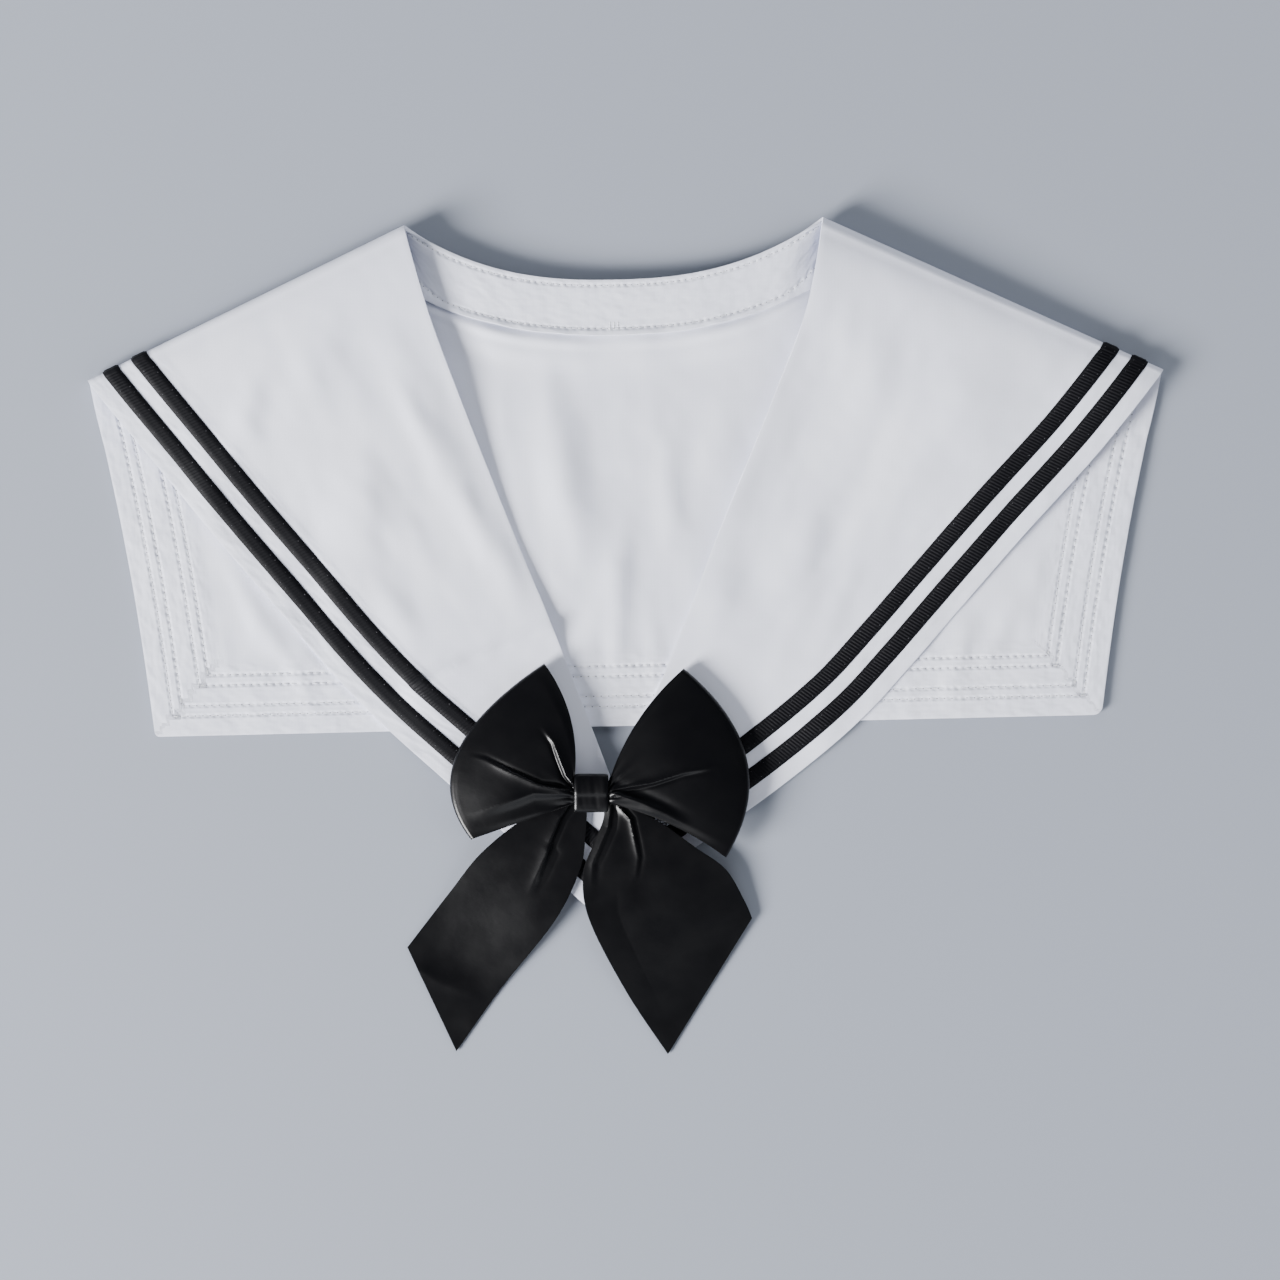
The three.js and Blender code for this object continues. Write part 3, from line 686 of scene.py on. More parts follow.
collar = new_piece("collar", np.concatenate(points), faces)
map_seams(collar, np.concatenate(seams) / 10)
thicken(collar, COTTON, round_rim=0.58, steps=3)


def noise(material, place, scale, detail, rough=0.5):
    inputs = {"Vector": place, "Scale": scale, "Detail": detail, "Roughness": rough}
    return add_node(material, "TexNoise", inputs).outputs["Fac"]


# Raises a surface by a height, on top of the relief that it already has
def relief(material, height, strength, depth, under=None, **settings):
    inputs = {"Height": height, "Strength": strength, "Distance": depth}
    if under is not None:
        inputs["Normal"] = under
    return add_node(material, "Bump", inputs, **settings).outputs["Normal"]


def reckon(material, operation, *values):
    return add_node(material, "Math", dict(enumerate(values)), operation=operation).outputs[0]


# Plain woven cotton: soft creases, cloth drawn in at each stitch of its rows, puckers in its
# border, fine crossed threads and a little grey. Rows and border are centimetres from the edge.
def cotton_material(name, stitch_rows, border):
    looks = {"Base Color": (0.78, 0.79, 0.86, 1), "Roughness": 0.86}
    cotton, shader = new_material(name, {**looks, "Sheen Weight": 0.12, "Sheen Roughness": 0.5})
    place = add_node(cotton, "TexCoord", {}).outputs["Object"]
    creased = relief(cotton, noise(cotton, place, 34, 2), 0.5, 0.0022)
    seam_place = add_node(cotton, "UVMap", {}, uv_map="seams").outputs["UV"]
    seam_parts = add_node(cotton, "SeparateXYZ", {"Vector": seam_place})
    inset, run = seam_parts.outputs["X"], seam_parts.outputs["Y"]
    soft_edge = {"interpolation_type": "SMOOTHSTEP"}
    rows = 0.0
    for distance in stitch_rows:
        apart = reckon(cotton, "ABSOLUTE", reckon(cotton, "SUBTRACT", inset, distance))
        row = spread(cotton, apart, (0.0, 0.13), (1.0, 0.0), **soft_edge)
        rows = reckon(cotton, "MAXIMUM", rows, row)
    beat = reckon(cotton, "SINE", reckon(cotton, "MULTIPLY", run, 2 * math.pi / (STITCH / 10)))
    pull = reckon(cotton, "MULTIPLY", rows, reckon(cotton, "MULTIPLY_ADD", beat, 0.3, 0.7))
    stitched = relief(cotton, pull, 0.8, 0.0005, under=creased, invert=True)
    near_edge = spread(cotton, inset, (border, border + 0.8), (1.0, 0.0), **soft_edge)
    drawn = add_node(cotton, "Mapping", {"Vector": seam_place, "Scale": (2.4, 1.5, 1)})
    gathers = noise(cotton, drawn.outputs["Vector"], 1, 1)
    puckers = reckon(cotton, "MULTIPLY", gathers, near_edge)
    puckered = relief(cotton, puckers, 0.6, 0.001, under=stitched)
    thread = {"Vector": place, "Scale": 560, "Distortion": 1.2, "Detail": 1.0, "Detail Scale": 3.0}
    warp = add_node(cotton, "TexWave", thread, bands_direction="X").outputs["Fac"]
    weft = add_node(cotton, "TexWave", thread, bands_direction="Y").outputs["Fac"]
    weave = relief(cotton, reckon(cotton, "MULTIPLY", warp, weft), 0.22, 0.00012, under=puckered)
    join(cotton, weave, shader.inputs["Normal"])
    tint = spread(cotton, noise(cotton, place, 11, 3), (0.3, 0.7), (0.0, 1.0))
    shades = {0: tint, 6: (0.735, 0.755, 0.865, 1), 7: (0.79, 0.805, 0.9, 1)}
    colour = add_node(cotton, "Mix", shades, data_type="RGBA")
    join(cotton, colour.outputs[2], shader.inputs["Base Color"])
    return cotton


# Gives a piece its material, fixes it to the one body and puts it in the place of a solid
def dress(piece, material, node):
    piece.data.materials.append(material)
    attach(piece, "root")
    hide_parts(node)


white_cotton = cotton_material("white_cotton", STITCH_LINES / 10, border=2.5)
dress(collar, white_cotton, "collar_cloth")


# The neck band
# A facing of the same white cloth, 22 mm deep, laid inside the back neckline and sewn down along
# its top and its lower edge. Its lower edge stands a little off the panel between the stitches.

BAND_STEPS = 14
BAND_THICK = 0.7
BAND_AIR = 0.06  # between the band and the panel where it is sewn down
LIP_FROM = 0.82  # share of the band's depth from which its lower edge lifts
LIP_RUN = 0.18
LIP_TALL = 1.2

panel_leans = facing_up(panel)
band_columns = []
for column in range(side_count - 1, panel_count - side_count + 1):
    band_rows = np.linspace(0, BAND_ROW, BAND_STEPS + 1)
    line = read_off(band_rows, ROWS, panel[:, column])
    lean = read_off(band_rows, ROWS, panel_leans[:, column])
    wave = 0.25 * np.sin(column * 1.35) + 0.2 * np.sin(column * 0.52 + 1)
    lip = smooth((band_rows / BAND_ROW - LIP_FROM) / LIP_RUN) * (LIP_TALL + wave)
    lift = COTTON / 2 + BAND_AIR + BAND_THICK / 2 + lip
    band_columns.append(line + unit(lean) * lift[:, None])
band_grid = np.array(band_columns).transpose(1, 0, 2)


def grid_piece(name, grid, turned):
    return new_piece(name, grid.reshape(-1, 3), grid_faces(grid_numbers(grid), turned))


band = grid_piece("band", band_grid, True)
band_seam = np.zeros((*band_grid.shape[:2], 2))
band_seam[..., 0] = np.linspace(0, BAND_WIDTH / 10, len(band_grid))[:, None]
band_seam[..., 1] = band_grid[..., 0] / 10
map_seams(band, band_seam.reshape(-1, 2))
thicken(band, BAND_THICK, round_rim=0.25, steps=2)
white_facing = cotton_material("white_facing", (0.22, 1.91), border=2.2)
dress(band, white_facing, "neck_band")


# The two ribbons
# Black ribbed ribbon, 7 mm wide, with raised ribs across it and a flat edge on either side.
# Each is one length, sewn on from a front's tip over the shoulder, round the hem and back.

RIB_PITCH = 1.3
RIB_TALL = 0.3
RIB_BEAT = np.array([0, 0.8, 1, 0.8])  # how a rib rises and falls along the ribbon
RIBBON_LIFT = 0.66  # the ribbon's under side above the middle of the cloth
RIBBON_TOP = 1.18  # and its upper side

# Across a ribbon: share of its width, how far its top drops there, and whether it has ribs
ACROSS, DROP, RIBBED = np.array(
    [
        (0, -0.25, 0),
        (0.04, -0.05, 0),
        (0.1, -0.05, 0),
        (0.14, 0, 1),
        (0.38, 0, 1),
        (0.62, 0, 1),
        (0.86, 0, 1),
        (0.9, -0.05, 0),
        (0.96, -0.05, 0),
        (1, -0.25, 0),
    ]
).T

# A rung is four points across the ribbon on the cloth under it, each with the way that it faces
RUNG = np.linspace(0, 1, 4)
RUNG_DOWN = np.tile([0.0, 0.0, -1.0], (len(RUNG), 1))


# One side of the panel, with its columns counted in from that side
def panel_side(name):
    return (panel if name == "left" else panel[:, ::-1])[:, :side_count]


# A point of a sheet at a row and a column that lie between its own
def on_sheet(sheet, columns, row, column):
    level = np.array([read_off(row, ROWS, sheet[:, k]) for k in range(len(columns))])
    return read_off(column, columns, level)


def side_rungs(name, strip):
    strips = strip + RUNG
    whole = np.concatenate([fronts[name][::-1], panel_side(name)[1:]])
    above_mitre = np.count_nonzero(ROWS[1:] <= HEM_ROW - 1 - strip + 1e-9)
    count = len(fronts[name]) + above_mitre
    places = [read_off(strips, STRIPS, row) for row in whole[:count]]
    leans = [unit(read_off(strips, STRIPS, row)) for row in facing_up(whole)[:count]]
    return list(zip(places, leans))


def mitre_rung(name, strip):
    side = panel_side(name)
    places = [on_sheet(side, STRIPS, HEM_ROW - strip - step, strip + step) for step in RUNG]
    return (np.array(places), RUNG_DOWN)


def hem_rungs(strip):
    first = strip + 1
    last = PANEL_STRIPS[-1] - first
    within = (PANEL_STRIPS >= first - 1e-9) & (PANEL_STRIPS <= last + 1e-9)
    rows = HEM_ROW - strip - RUNG
    return [(read_off(rows, ROWS, panel[:, column]), RUNG_DOWN) for column in np.flatnonzero(within)]


# Melts doubled points together and turns all faces outwards
def close_seams(piece):
    select_only(piece)
    bpy.ops.object.mode_set(mode="EDIT")
    bpy.ops.mesh.select_all(action="SELECT")
    bpy.ops.mesh.remove_doubles(threshold=2e-6)
    bpy.ops.mesh.normals_make_consistent(inside=False)
    bpy.ops.object.mode_set(mode="OBJECT")
    piece.select_set(False)


def ribbon_mesh(name, strip):
    rungs = [*side_rungs("left", strip), mitre_rung("left", strip), *hem_rungs(strip)]
    rungs += [mitre_rung("right", strip), *side_rungs("right", strip)[::-1]]
    places = np.array([place for place, _ in rungs])
    leans = np.array([lean for _, lean in rungs])
    run = run_along(places.mean(axis=1))
    along = np.linspace(0, run[-1], int(run[-1] / RIB_PITCH) * len(RIB_BEAT) + 1)
    third = np.minimum((ACROSS * 3).astype(int), 2)
    within = ((ACROSS - RUNG[third]) * 3)[:, None]

    def resample(values):
        dense = read_off(along, run, values.reshape(len(values), -1)).reshape(-1, 4, 3)
        return mix(dense[:, third], dense[:, third + 1], within)

    cloth = resample(places)
    lean = unit(resample(leans))
    beat = RIB_BEAT[np.arange(len(along)) % len(RIB_BEAT)]
    top = RIBBON_TOP + DROP + RIB_TALL * (RIBBED * beat[:, None] - 0.5)
    upper = cloth + lean * top[..., None]
    lower = (cloth + lean * RIBBON_LIFT)[:, [-1, 0]]
    ring = np.concatenate([upper, lower], axis=1)
    numbers = grid_numbers(ring)
    ring_faces = grid_faces(np.column_stack([numbers, numbers[:, 0]]), False)
    ring_faces += [numbers[0, ::-1].tolist(), numbers[-1].tolist()]
    piece = new_piece(name, ring.reshape(-1, 3), ring_faces)
    close_seams(piece)
    piece.data.shade_smooth()
    return piece


ribbed_ribbon, ribbon_shader = new_material(
    "ribbed_ribbon",
    {
        "Base Color": (0.004, 0.004, 0.0055, 1),
        "Roughness": 0.7,
        "Specular IOR Level": 0.16,
        "Sheen Weight": 0.02,
        "Sheen Roughness": 0.45,
    },
)
ribbon_place = add_node(ribbed_ribbon, "TexCoord", {}).outputs["Object"]
ribbon_threads = noise(ribbed_ribbon, ribbon_place, 2600, 2, rough=0.6)
ribbon_weave = relief(ribbed_ribbon, ribbon_threads, 0.5, 0.00012)
join(ribbed_ribbon, ribbon_weave, ribbon_shader.inputs["Normal"])
ribbon_wear = spread(ribbed_ribbon, ribbon_threads, (0.3, 0.7), (0.5, 0.75))
join(ribbed_ribbon, ribbon_wear, ribbon_shader.inputs["Roughness"])

edge_ribbon = ribbon_mesh("edge_ribbon", 1)
dress(edge_ribbon, ribbed_ribbon, "outer_ribbon")
second_ribbon = ribbon_mesh("second_ribbon", 3)
dress(second_ribbon, ribbed_ribbon, "inner_ribbon")


# The stitches
# Lockstitch in white thread, about 3 mm a stitch. Four rows show inside the back panel, where
# the ribbons' edges are sewn through, two on the neck band and fine points along each ribbon.

FRONT_STITCH_LINES = (7.9, 12.0, 20.1, 24.2)  # millimetres in from a front's edge
BAND_STITCH_SHARES = (0.1, 0.87)  # shares of the band's depth
STITCHED_FROM = 3.2  # the panel's row at which its stitch rows leave the shoulder fold
TACK_ROW = 12  # the band's row at which the tack is sewn


# The shape that was added last, as points and faces to be copied
def take_shape():
    shape = bpy.context.object
    shape_points = np.array([vertex.co for vertex in shape.data.vertices])
    shape_faces = [list(polygon.vertices) for polygon in shape.data.polygons]
    bpy.data.objects.remove(shape, do_unlink=True)
    return shape_points, shape_faces


bpy.ops.mesh.primitive_uv_sphere_add(segments=6, ring_count=5, radius=1)
thread_points, thread_faces = take_shape()
bpy.ops.mesh.primitive_circle_add(vertices=8, radius=1, fill_type="TRIFAN")
hole_points, hole_faces = take_shape()


# Stitches along lines of points, each line given with the ways that its points face, and where a
# size is given for it, a flat dark disc of painted shade for a needle hole after every stitch
def sew(name, lines, pitch, long, thick, hole, lift):
    shapes = [(thread_points * (long / 2, thick / 2, thick / 3), thread_faces, 0)]
    if hole:
        # The needle hole is a flat dark disc, painted shade where the thread goes into the cloth
        shapes.append((hole_points * (hole, hole * 0.7, 0) + (pitch / 2, 0, 0.03), hole_faces, 1))
    points, faces, kinds = [], [], []
    total = 0
    for line, leans in lines:
        run = run_along(line)
        centres = np.arange(pitch / 2, run[-1], pitch)
        at = read_off(centres, run, line)
        lean = unit(read_off(centres, run, leans))
        forward = unit(read_off(centres + 0.5, run, line) - read_off(centres - 0.5, run, line))
        aside = unit(np.cross(lean, forward))
        for k in range(len(centres)):
            axes = np.array([forward[k], aside[k], lean[k]])
            for shape, shape_faces, kind in shapes:
                points.append(at[k] + lean[k] * lift + shape @ axes)
                faces += [[n + total for n in face] for face in shape_faces]
                kinds += [kind] * len(shape_faces)
                total += len(shape)
    piece = new_piece(name, np.concatenate(points), faces)
    for polygon, kind in zip(piece.data.polygons, kinds):
        polygon.material_index = kind
    piece.data.shade_smooth()
    return piece


# A stitch row at one distance in from the panel's edges, on its inner side
def panel_row(distance):
    strip = np.interp(distance, RIBBON_LINES, range(5))
    far_strip = PANEL_STRIPS[-1] - strip
    low = HEM_ROW - strip
    down_rows = np.linspace(STITCHED_FROM, low, 46)
    left = [on_sheet(panel, PANEL_STRIPS, row, strip) for row in down_rows]
    hem_strips = np.linspace(strip, far_strip, 80)[1:-1]
    hem = [on_sheet(panel, PANEL_STRIPS, low, line) for line in hem_strips]
    right = [on_sheet(panel, PANEL_STRIPS, row, far_strip) for row in down_rows[::-1]]
    made = []
    for part in (left, [left[-1], *hem, right[0]], right):
        line = np.array(part) + np.array([0, 0, COTTON / 2])
        made.append((line, np.tile([0.0, 0.0, 1.0], (len(line), 1))))
    return made


# A stitch row along a ribbon on a front, on top of the ribbon
def front_row(name, distance):
    strip = np.interp(distance, RIBBON_LINES, range(5))
    line = np.array([read_off(strip, STRIPS, row) for row in fronts[name]])
    lean = unit(np.array([read_off(strip, STRIPS, row) for row in facing_up(fronts[name])]))
    return line + lean * RIBBON_TOP, lean


def thread_material(name, colour):
    thread, shader = new_material(name, {"Base Color": colour, "Roughness": 0.6})
    place = add_node(thread, "TexCoord", {}).outputs["Object"]
    twist = add_node(thread, "TexWave", {"Vector": place, "Scale": 900}, bands_direction="DIAGONAL")
    join(thread, relief(thread, twist.outputs["Fac"], 0.4, 0.0001), shader.inputs["Normal"])
    return thread


white_thread = thread_material("white_thread", (0.8, 0.81, 0.84, 1))
grey_thread = thread_material("grey_thread", (0.09, 0.09, 0.1, 1))
# Painted shade: this grey disc colour stands in for the shade inside each needle hole
hole_shade_looks = {"Base Color": (0.16, 0.165, 0.19, 1), "Roughness": 0.95}
needle_hole_shade, hole_shader = new_material("needle_hole_shade", hole_shade_looks)
hole_place = add_node(needle_hole_shade, "TexCoord", {}).outputs["Object"]
hole_grain = relief(needle_hole_shade, noise(needle_hole_shade, hole_place, 3000, 2), 0.3, 0.0001)
join(needle_hole_shade, hole_grain, hole_shader.inputs["Normal"])

panel_lines = [line for distance in STITCH_LINES for line in panel_row(distance)]
panel_stitches = sew(
    "panel_stitches", panel_lines, pitch=STITCH, long=2.3, thick=0.34, hole=0.3, lift=0.02
)
ribbon_lines = [front_row(name, distance) for name in SIDES for distance in FRONT_STITCH_LINES]
ribbon_stitches = sew(
    "ribbon_stitches", ribbon_lines, pitch=STITCH, long=0.5, thick=0.24, hole=None, lift=-0.02
)

band_leans = facing_up(band_grid)
band_lines = []
for share in BAND_STITCH_SHARES:
    band_shares = np.linspace(0, 1, len(band_grid))
    within = range(1, band_grid.shape[1] - 1)
    line = np.array([read_off(share, band_shares, band_grid[:, column]) for column in within])
    lean = unit(np.array([read_off(share, band_shares, band_leans[:, column]) for column in within]))
    band_lines.append((line + lean * BAND_THICK / 2, lean))
band_stitches = sew(
    "band_stitches", band_lines, pitch=2.4, long=1.75, thick=0.34, hole=0.26, lift=0.03
)

# The bar tack that holds the band's lower edge at the middle of the back: three short upright rows
tack_at = band_grid[TACK_ROW, band_grid.shape[1] // 2]
tack_lines = []
for across in (-1.6, 0, 1.6):
    tack_row = [tack_at + np.array([across, y, BAND_THICK / 2 + 0.1]) for y in np.linspace(2.4, -2.6, 6)]
    tack_lines.append((np.array(tack_row), np.tile([0.0, 0.0, 1.0], (6, 1))))
tack_stitches = sew("tack_stitches", tack_lines, pitch=1.2, long=1.3, thick=0.5, hole=None, lift=0.02)

for made in (panel_stitches, ribbon_stitches, band_stitches, tack_stitches):
    made.data.materials.append(grey_thread if made is ribbon_stitches else white_thread)
    made.data.materials.append(needle_hole_shade)
    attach(made, "root")


# The bow's two loops
# Black satin, lined and folded back on itself, gathered tight where the knot holds it. The upper
# layer swells and carries sharp gathers that run out from the knot and die away in the cloth.

SATIN = 1.0
SATIN_SHOWN = 0.7  # the thickness that is modelled here
LOOP_REACH = 60  # knot to the fullest point of a loop
LOOP_PUFF = 5  # how far a loop's upper layer swells
OPEN_EDGE_PUFF = 0.35  # the swell at a loop's open edges, as a share of LOOP_PUFF
LOOP_EDGE = 1.5  # radius of the loop's end fold
LOOP_SLOPE = 1.6  # how much higher a loop's lower corner lies than its upper tip
KNOT_WIDE = 13.2
KNOT_TALL = 15.6
NECK_AIR = 0.8  # half the air between a loop's two layers inside the knot
NECK_SHARE = 0.6  # a loop's width inside the knot, as a share of the knot's
PIN_THICK = 0.8
LOOP_COLUMNS = 161
PLEAT_TALL = 0.55  # the pleats beside the knot

PIN_LEVEL = OVER_LEVEL + COTTON / 2 + GAP + PIN_THICK / 2
TAIL_LEVEL = PIN_LEVEL + PIN_THICK / 2 + GAP + SATIN / 2
KNOT_HOLE_TALL = KNOT_TALL / 2 - SATIN
KNOT_HOLE_THICK = (NECK_AIR + SATIN + GAP) / math.sqrt(1 - NECK_SHARE**2)
KNOT_LEVEL = TAIL_LEVEL + SATIN / 2 + GAP + SATIN + KNOT_HOLE_THICK
LOOP_LEVEL = OVER_LEVEL + COTTON / 2 + GAP + RIBBON + GAP + SATIN / 2 + LOOP_EDGE
FLOOR_LEVEL = GAP + SATIN / 2
NECK_HALF = NECK_SHARE * KNOT_HOLE_TALL
NECK_LEVEL = NECK_AIR + SATIN / 2

# Each loop's outline as shares of LOOP_REACH from the knot, and how far its straight edges bow
LOOPS = {
    "left": {
        "side": -1,
        "tip": (-0.31, 0.853),
        "full": (-0.89, 0.257),
        "corner": (-0.793, -0.307),
        "top_bow": 0.1,
        "low_bow": 0,
    },
    "right": {
        "side": 1,
        "tip": (0.61, 0.82),
        "full": (1.027, 0.223),
        "corner": (0.89, -0.427),
        "top_bow": 0.07,
        "low_bow": 0.055,
    },
}

# The gathers: height, spread on the gentle side and on the steep one, which side is the steep one,
# and the places that each runs through, from the knot's middle
LOOP_GATHERS = {
    "left": [
        (1.15, 1.6, 0.8, 1, [(-5, 2), (-6.8, 3.2), (-9.8, 6.8), (-12.6, 14.2), (-14.6, 20.2), (-20.6, 28)]),
        (1.3, 1.6, 0.8, -1, [(-5, 0.2), (-20.6, 3), (-32.6, 8.4), (-42, 13), (-50, 14.8)]),
        (1.3, 3.2, 2.2, 1, [(-5, -0.4), (-23, 0.4), (-32.6, -3), (-44, -7), (-52, -8.6)]),
    ],
    "right": [
        (1.2, 1.5, 0.8, -1, [(5, 0.6), (7.8, 1.4), (24.6, 4.4), (36.6, 8.4), (52, 11)]),
        (1.6, 3.0, 1.8, 1, [(5, -0.8), (7.8, 0.2), (19.6, -3.8), (30, -8.4), (41, -14.4)]),
    ],
}


# The height that one gather adds at places round the knot: a crest with a trough on its steep side
def gather_height(plan, tall, gentle, steep, way, line):
    points = np.array(line, float)
    lengths = np.linalg.norm(np.diff(points, axis=0), axis=1)
    run = run_along(points)
    nearest = np.full(plan.shape[:-1], 1e9)
    beside = np.zeros(plan.shape[:-1])
    share = np.zeros(plan.shape[:-1])
    for k in range(len(points) - 1):
        along = (points[k + 1] - points[k]) / lengths[k]
        apart = plan - points[k]
        reach = np.clip(apart @ along, 0, lengths[k])
        distance = np.linalg.norm(apart - reach[..., None] * along, axis=-1)
        closer = distance < nearest
        nearest = np.where(closer, distance, nearest)
        beside = np.where(closer, np.sign(cross_flat(along, apart)) * distance, beside)
        share = np.where(closer, (run[k] + reach) / run[-1], share)
    beside = beside * way
    spread_out = np.where(beside > 0, steep, gentle) * mix(0.6, 1.25, share)
    steep_side = np.exp(-((beside / spread_out) ** 2))
    gentle_side = np.exp(-np.hypot(beside, 0.25) / spread_out)
    crest = np.where(beside > 0, steep_side, gentle_side)
    trough = np.exp(-(((beside - 2.1 * steep) / (1.2 * steep)) ** 2))
    fade = smooth(share / 0.16) * (1 - smooth((share - 0.5) / 0.5))
    return tall * fade * (crest - 0.45 * trough)


# Places across a loop, from its upper edge to its lower one, at one share of the way out
def loop_plan(shape, out, across):
    side = shape["side"]
    tip, full, corner = (np.array(shape[key]) * LOOP_REACH for key in ("tip", "full", "corner"))
    control = full * 2 - (tip + corner) / 2
    a = across[..., None]
    end = tip * (1 - a) ** 2 + control * 2 * a * (1 - a) + corner * a**2
    neck_x = np.full(across.shape, side * (KNOT_WIDE / 2 + GAP))
    neck = np.stack([neck_x, mix(NECK_HALF, -NECK_HALF, across)], axis=-1)
    plan = mix(neck, end, out[..., None])
    sideways = np.stack([-(end - neck)[..., 1], (end - neck)[..., 0]], axis=-1) * side
    bow = mix(shape["top_bow"], shape["low_bow"], across) * 4 * out * (1 - out)
    return plan + sideways * bow[..., None]


def loop_height(name, out, across, plan, upper):
    rim = LOOP_LEVEL + LOOP_SLOPE * across**2
    way = 1 if upper else -1
    ends = mix(KNOT_LEVEL + way * NECK_LEVEL, rim + way * LOOP_EDGE, smooth(out))
    if not upper:
        return np.maximum(ends, rim - LOOP_EDGE)
    swell = np.sin(np.pi * out**1.5) * mix(OPEN_EDGE_PUFF, 1, np.sin(np.pi * across))
    lift = 0.6 * LOOP_PUFF * swell
    for gather in LOOP_GATHERS[name]:
        lift = lift + gather_height(plan, *gather)
    pleats = np.cos(2 * np.pi * (4.5 * across + 0.2)) * np.exp(-out / 0.13) * smooth(out / 0.05)
    lift = lift + PLEAT_TALL * pleats
    edges = smooth(across / 0.05) * smooth((1 - across) / 0.05) * smooth((1 - out) / 0.06)
    return np.maximum(ends + lift * mix(0.35, 1, edges), rim + LOOP_EDGE * 0.9)


# A loop, line by line: out from the knot on top, round the end fold and back underneath
def loop_grid(name):
    shape = LOOPS[name]
    across = np.linspace(0, 1, LOOP_COLUMNS)
    fold_from = 1 - LOOP_EDGE / LOOP_REACH
    outs = np.concatenate([np.linspace(0, 0.2, 31)[:-1], np.linspace(0.2, fold_from, 91)])
    inside_x = np.full(LOOP_COLUMNS, shape["side"] * GAP)
    inside = np.column_stack([inside_x, mix(NECK_HALF, -NECK_HALF, across)])

    def layer(shares, upper):
        for out in shares:
            out = np.full(LOOP_COLUMNS, out)
            plan = loop_plan(shape, out, across)
            lines.append(np.column_stack([plan, loop_height(name, out, across, plan, upper)]))

    lines = [np.column_stack([inside, np.full(LOOP_COLUMNS, KNOT_LEVEL + NECK_LEVEL)])]
    layer(outs, True)
    for turn in np.linspace(math.pi / 2, -math.pi / 2, 9)[1:-1]:
        out = np.full(LOOP_COLUMNS, 1 - LOOP_EDGE / LOOP_REACH * (1 - math.cos(turn)))
        rim = LOOP_LEVEL + LOOP_SLOPE * across**2 + LOOP_EDGE * math.sin(turn)
        lines.append(np.column_stack([loop_plan(shape, out, across), rim]))
    layer(outs[::-3], False)
    lines.append(np.column_stack([inside, np.full(LOOP_COLUMNS, KNOT_LEVEL - NECK_LEVEL)]))
    grid = np.array(lines)
    grid[..., :2] += KNOT_AT
    return grid


# Black satin: threads that float along it, soft creases, and a sheen that varies with them
black_satin, satin_shader = new_material(
    "black_satin",
    {
        "Base Color": (0.0014, 0.0014, 0.002, 1),
        "Roughness": 0.35,
        "Specular IOR Level": 0.33,
        "Sheen Weight": 0.02,
        "Sheen Roughness": 0.3,
    },
)
satin_place = add_node(black_satin, "TexCoord", {}).outputs["Object"]
satin_stretch = add_node(black_satin, "Mapping", {"Vector": satin_place, "Scale": (1, 4, 1)})
satin_floats = noise(black_satin, satin_stretch.outputs["Vector"], 900, 2)
satin_soft = noise(black_satin, satin_place, 70, 3)
satin_creases = relief(black_satin, satin_soft, 0.25, 0.0008)
satin_relief = relief(black_satin, satin_floats, 0.18, 0.0001, under=satin_creases)
join(black_satin, satin_relief, satin_shader.inputs["Normal"])
satin_gloss = spread(black_satin, satin_soft, (0.3, 0.7), (0.31, 0.4))
join(black_satin, satin_gloss, satin_shader.inputs["Roughness"])


def satin_piece(name, grid, turned, node):
    piece = grid_piece(name, grid, turned)
    thicken(piece, SATIN_SHOWN, round_rim=0.25, steps=2)
    dress(piece, black_satin, node)
    return piece


for name, turned in (("left", False), ("right", True)):
    made = satin_piece("bow_loop_" + name, loop_grid(name), turned, name + "_loop")


# The bow's two tails
# Black satin, lined, each narrow in the knot and 50 mm wide lower down, cut off at a slant. They
# hang over the fronts' tips on to the table, and each has two gathers below the knot.

TAIL_LENGTH = 117  # knot to the tail's tip
TAIL_DROP = 54  # run over which a tail comes down beside the fronts
TAIL_BROAD = 0.4  # how far a tail is arched across its width
TAIL_PLEAT_TALL = 0.3

# Each tail's two edges from the knot to the slanted end, as shares of its length
TAILS = {
    "left": {
        "left_edge": [
            (-0.055, 0.029), (-0.115, -0.044), (-0.243, -0.099), (-0.379, -0.21),
            (-0.478, -0.334), (-0.5675, -0.4496), (-0.631, -0.533),
        ],
        "right_edge": [
            (-0.005, 0.038), (-0.014, -0.056), (-0.0205, -0.15), (-0.0385, -0.2615),
            (-0.123, -0.436), (-0.311, -0.675), (-0.463, -0.889),
        ],
    },
    "right": {
        "left_edge": [
            (0.005, 0.038), (0.044, -0.068), (0.005, -0.18), (-0.029, -0.286),
            (-0.005, -0.44), (0.124, -0.692), (0.2615, -0.899),
        ],
        "right_edge": [
            (0.055, 0.029), (0.12, -0.043), (0.234, -0.101), (0.35, -0.184),
            (0.457, -0.261), (0.521, -0.3675), (0.549, -0.431),
        ],
    },
}

# As the loops' gathers. The left tail's last one is a faint fold near its slanted end.
TAIL_GATHERS = {
    "left": [
        (1.4, 2.2, 1.0, 1, [(-4, 3), (-7.4, -2.2), (-12.6, -9.6), (-16.6, -19), (-22, -36)]),
        (0.9, 2.4, 1.6, 1, [(-16, -20), (-19, -26), (-22, -33), (-26, -41)]),
        (0.4, 4.5, 4.5, 1, [(-72, -70), (-62, -76), (-50, -81), (-38, -86)]),
    ],
    "right": [
        (0.95, 1.4, 0.8, 1, [(5, 3), (7.4, -1.7), (15.4, -11), (18.6, -25.7), (17.5, -33), (13.5, -38)]),
        (1.0, 1.6, 1.2, 1, [(6, 3), (8, -3), (6.4, -14), (0.4, -28), (-0.6, -40)]),
    ],
}


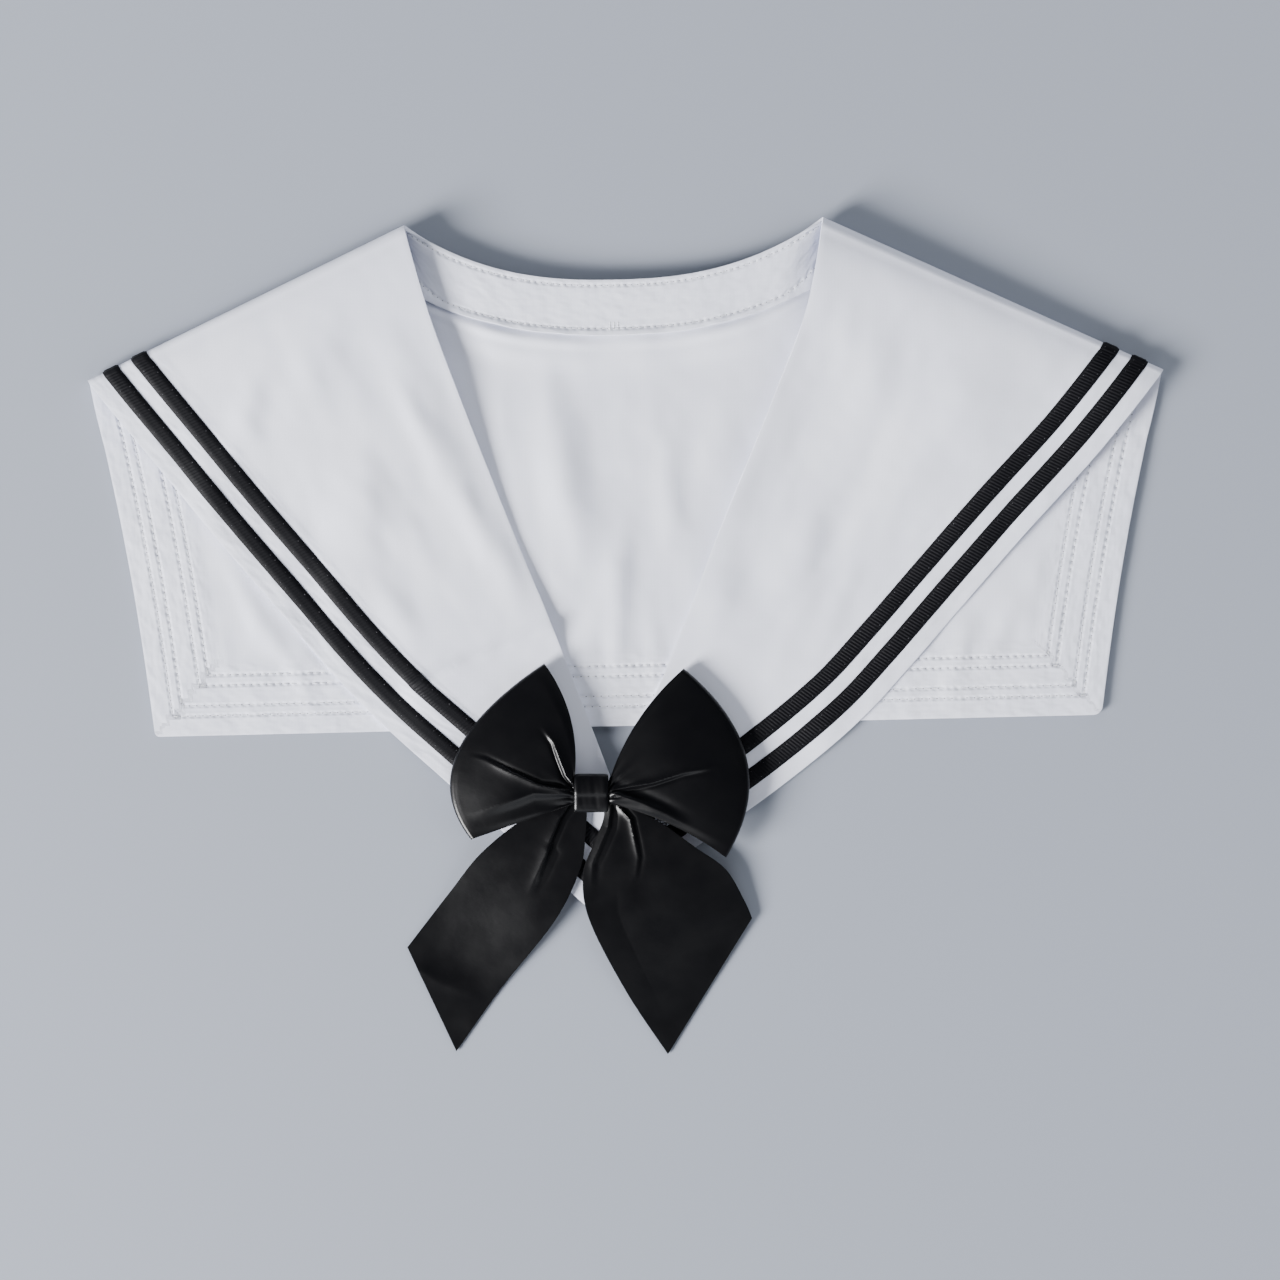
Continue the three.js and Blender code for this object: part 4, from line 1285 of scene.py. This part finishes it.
# How far places lie outside both fronts
def beyond_fronts(plan):
    least = np.full(len(plan), 1e9)
    shares = np.linspace(0, 1, 27)
    for corners in SIDES.values():
        outline = np.concatenate([corners["outer"].at(shares), corners["inner"].at(shares)[::-1]])
        distance = np.full(len(plan), 1e9)
        within = np.zeros(len(plan), bool)
        for a, b in zip(outline, np.roll(outline, -1, axis=0)):
            line = b - a
            share = np.clip((plan - a) @ line / (line @ line), 0, 1)
            distance = np.minimum(distance, np.linalg.norm(plan - a - share[:, None] * line, axis=1))
            if a[1] != b[1]:
                crosses = (a[1] > plan[:, 1]) != (b[1] > plan[:, 1])
                reach = a[0] + (b[0] - a[0]) * (plan[:, 1] - a[1]) / (b[1] - a[1])
                within ^= crosses & (plan[:, 0] < reach)
        least = np.minimum(least, np.where(within, 0, distance))
    return least


def tail_grid(name):
    left = Line(np.array(TAILS[name]["left_edge"]) * TAIL_LENGTH)
    right = Line(np.array(TAILS[name]["right_edge"]) * TAIL_LENGTH)
    across = np.linspace(0, 1, 121)
    edges = smooth(across / 0.08) * smooth((1 - across) / 0.08)
    rows = []
    for out in np.concatenate([np.linspace(0, 0.4, 71)[:-1], np.linspace(0.4, 1, 101)]):
        plan = mix(left.raw(out), right.raw(out), across[:, None])
        beyond = beyond_fronts(plan + KNOT_AT)
        drape = mix(TAIL_LEVEL, FLOOR_LEVEL, smooth((beyond - SATIN) / TAIL_DROP))
        lift = np.zeros(len(across))
        for gather in TAIL_GATHERS[name]:
            lift = lift + gather_height(plan, *gather)
        lift = np.maximum(lift, -0.2) * mix(0.4, 1, edges)
        pleats = np.cos(2 * np.pi * (2.5 * across + 0.3)) * math.exp(-out / 0.07) * smooth(out / 0.05)
        held = smooth((out - 0.03) / 0.08)
        broad = TAIL_BROAD * np.sin(np.pi * across) * math.sin(math.pi * min(out, 0.9) / 0.9) ** 2
        height = drape + held * (lift + TAIL_PLEAT_TALL * pleats) + broad
        rows.append(np.column_stack([plan + KNOT_AT, height]))
    return np.array(rows)


for name in TAILS:
    made = satin_piece("bow_tail_" + name, tail_grid(name), True, name + "_tail")


# The knot
# A band of the same satin, 13 mm wide, wrapped once round the gathers from top to bottom and sewn
# behind. It has rolled edges and a few folds along its run.

KNOT_SHOWN = 0.8  # the band's thickness that is modelled here
KNOT_ROLL = 1.2  # how far its rolled edges turn in
KNOT_WAIST = 0.35  # how far it is pulled in at its middle
KNOT_STEP = 0.35  # half the height by which its upper part laps over its lower one
TURN_STEPS = 96
WIDE_STEPS = 40


def knot_grid():
    across = np.linspace(-1, 1, WIDE_STEPS + 1)
    edge_roll = KNOT_ROLL * (1 - np.sqrt(np.maximum(1 - np.abs(across) ** 7, 0)))
    rows = []
    for turn in np.linspace(0, 2 * math.pi, TURN_STEPS + 1)[:-1]:
        folds = 0.07 * np.cos(across * 7.5 + 0.9 * math.sin(turn))
        folds += 0.03 * np.cos(across * 15 + 2 * math.cos(turn))
        front = smooth(math.sin(turn) * 1.5)
        waist = KNOT_WAIST * (1 - across**2) * front
        step = KNOT_STEP * math.tanh((math.cos(turn) * 7.3 + 0.6) / 0.8) * front
        shrink = edge_roll - folds * front + waist - step
        half_thick = KNOT_HOLE_THICK + SATIN / 2 - shrink
        half_tall = KNOT_TALL / 2 - SATIN / 2 - 0.5 * shrink
        x = across * KNOT_WIDE / 2
        y = half_tall * math.cos(turn)
        z = KNOT_LEVEL + half_thick * math.copysign(abs(math.sin(turn)) ** 0.6, math.sin(turn))
        rows.append(np.column_stack([x + KNOT_AT[0], y + KNOT_AT[1], z]))
    return np.array([*rows, rows[0]])


knot_band = grid_piece("bow_knot", knot_grid(), True)
close_seams(knot_band)
thicken(knot_band, KNOT_SHOWN, round_rim=0.3, steps=2)
dress(knot_band, black_satin, "knot")


# The pin
# A plain steel bar behind the knot, which clips the bow to the crossed fronts. It is hidden from
# above, so the solid itself stays, with a drawn-steel finish.

pin_looks = {"Base Color": (0.6, 0.61, 0.63, 1), "Roughness": 0.32, "Metallic": 1}
pin_steel, pin_shader = new_material("pin_steel", pin_looks)
pin_place = add_node(pin_steel, "TexCoord", {}).outputs["Object"]
pin_stretch = add_node(pin_steel, "Mapping", {"Vector": pin_place, "Scale": (40, 2400, 2400)})
pin_grain = noise(pin_steel, pin_stretch.outputs["Vector"], 1, 3)
pin_gloss = spread(pin_steel, pin_grain, (0.3, 0.7), (0.24, 0.42))
join(pin_steel, pin_gloss, pin_shader.inputs["Roughness"])
join(pin_steel, relief(pin_steel, pin_grain, 0.2, 0.00005), pin_shader.inputs["Normal"])
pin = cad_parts["bow_pin"]
pin.data.materials.clear()
pin.data.materials.append(pin_steel)
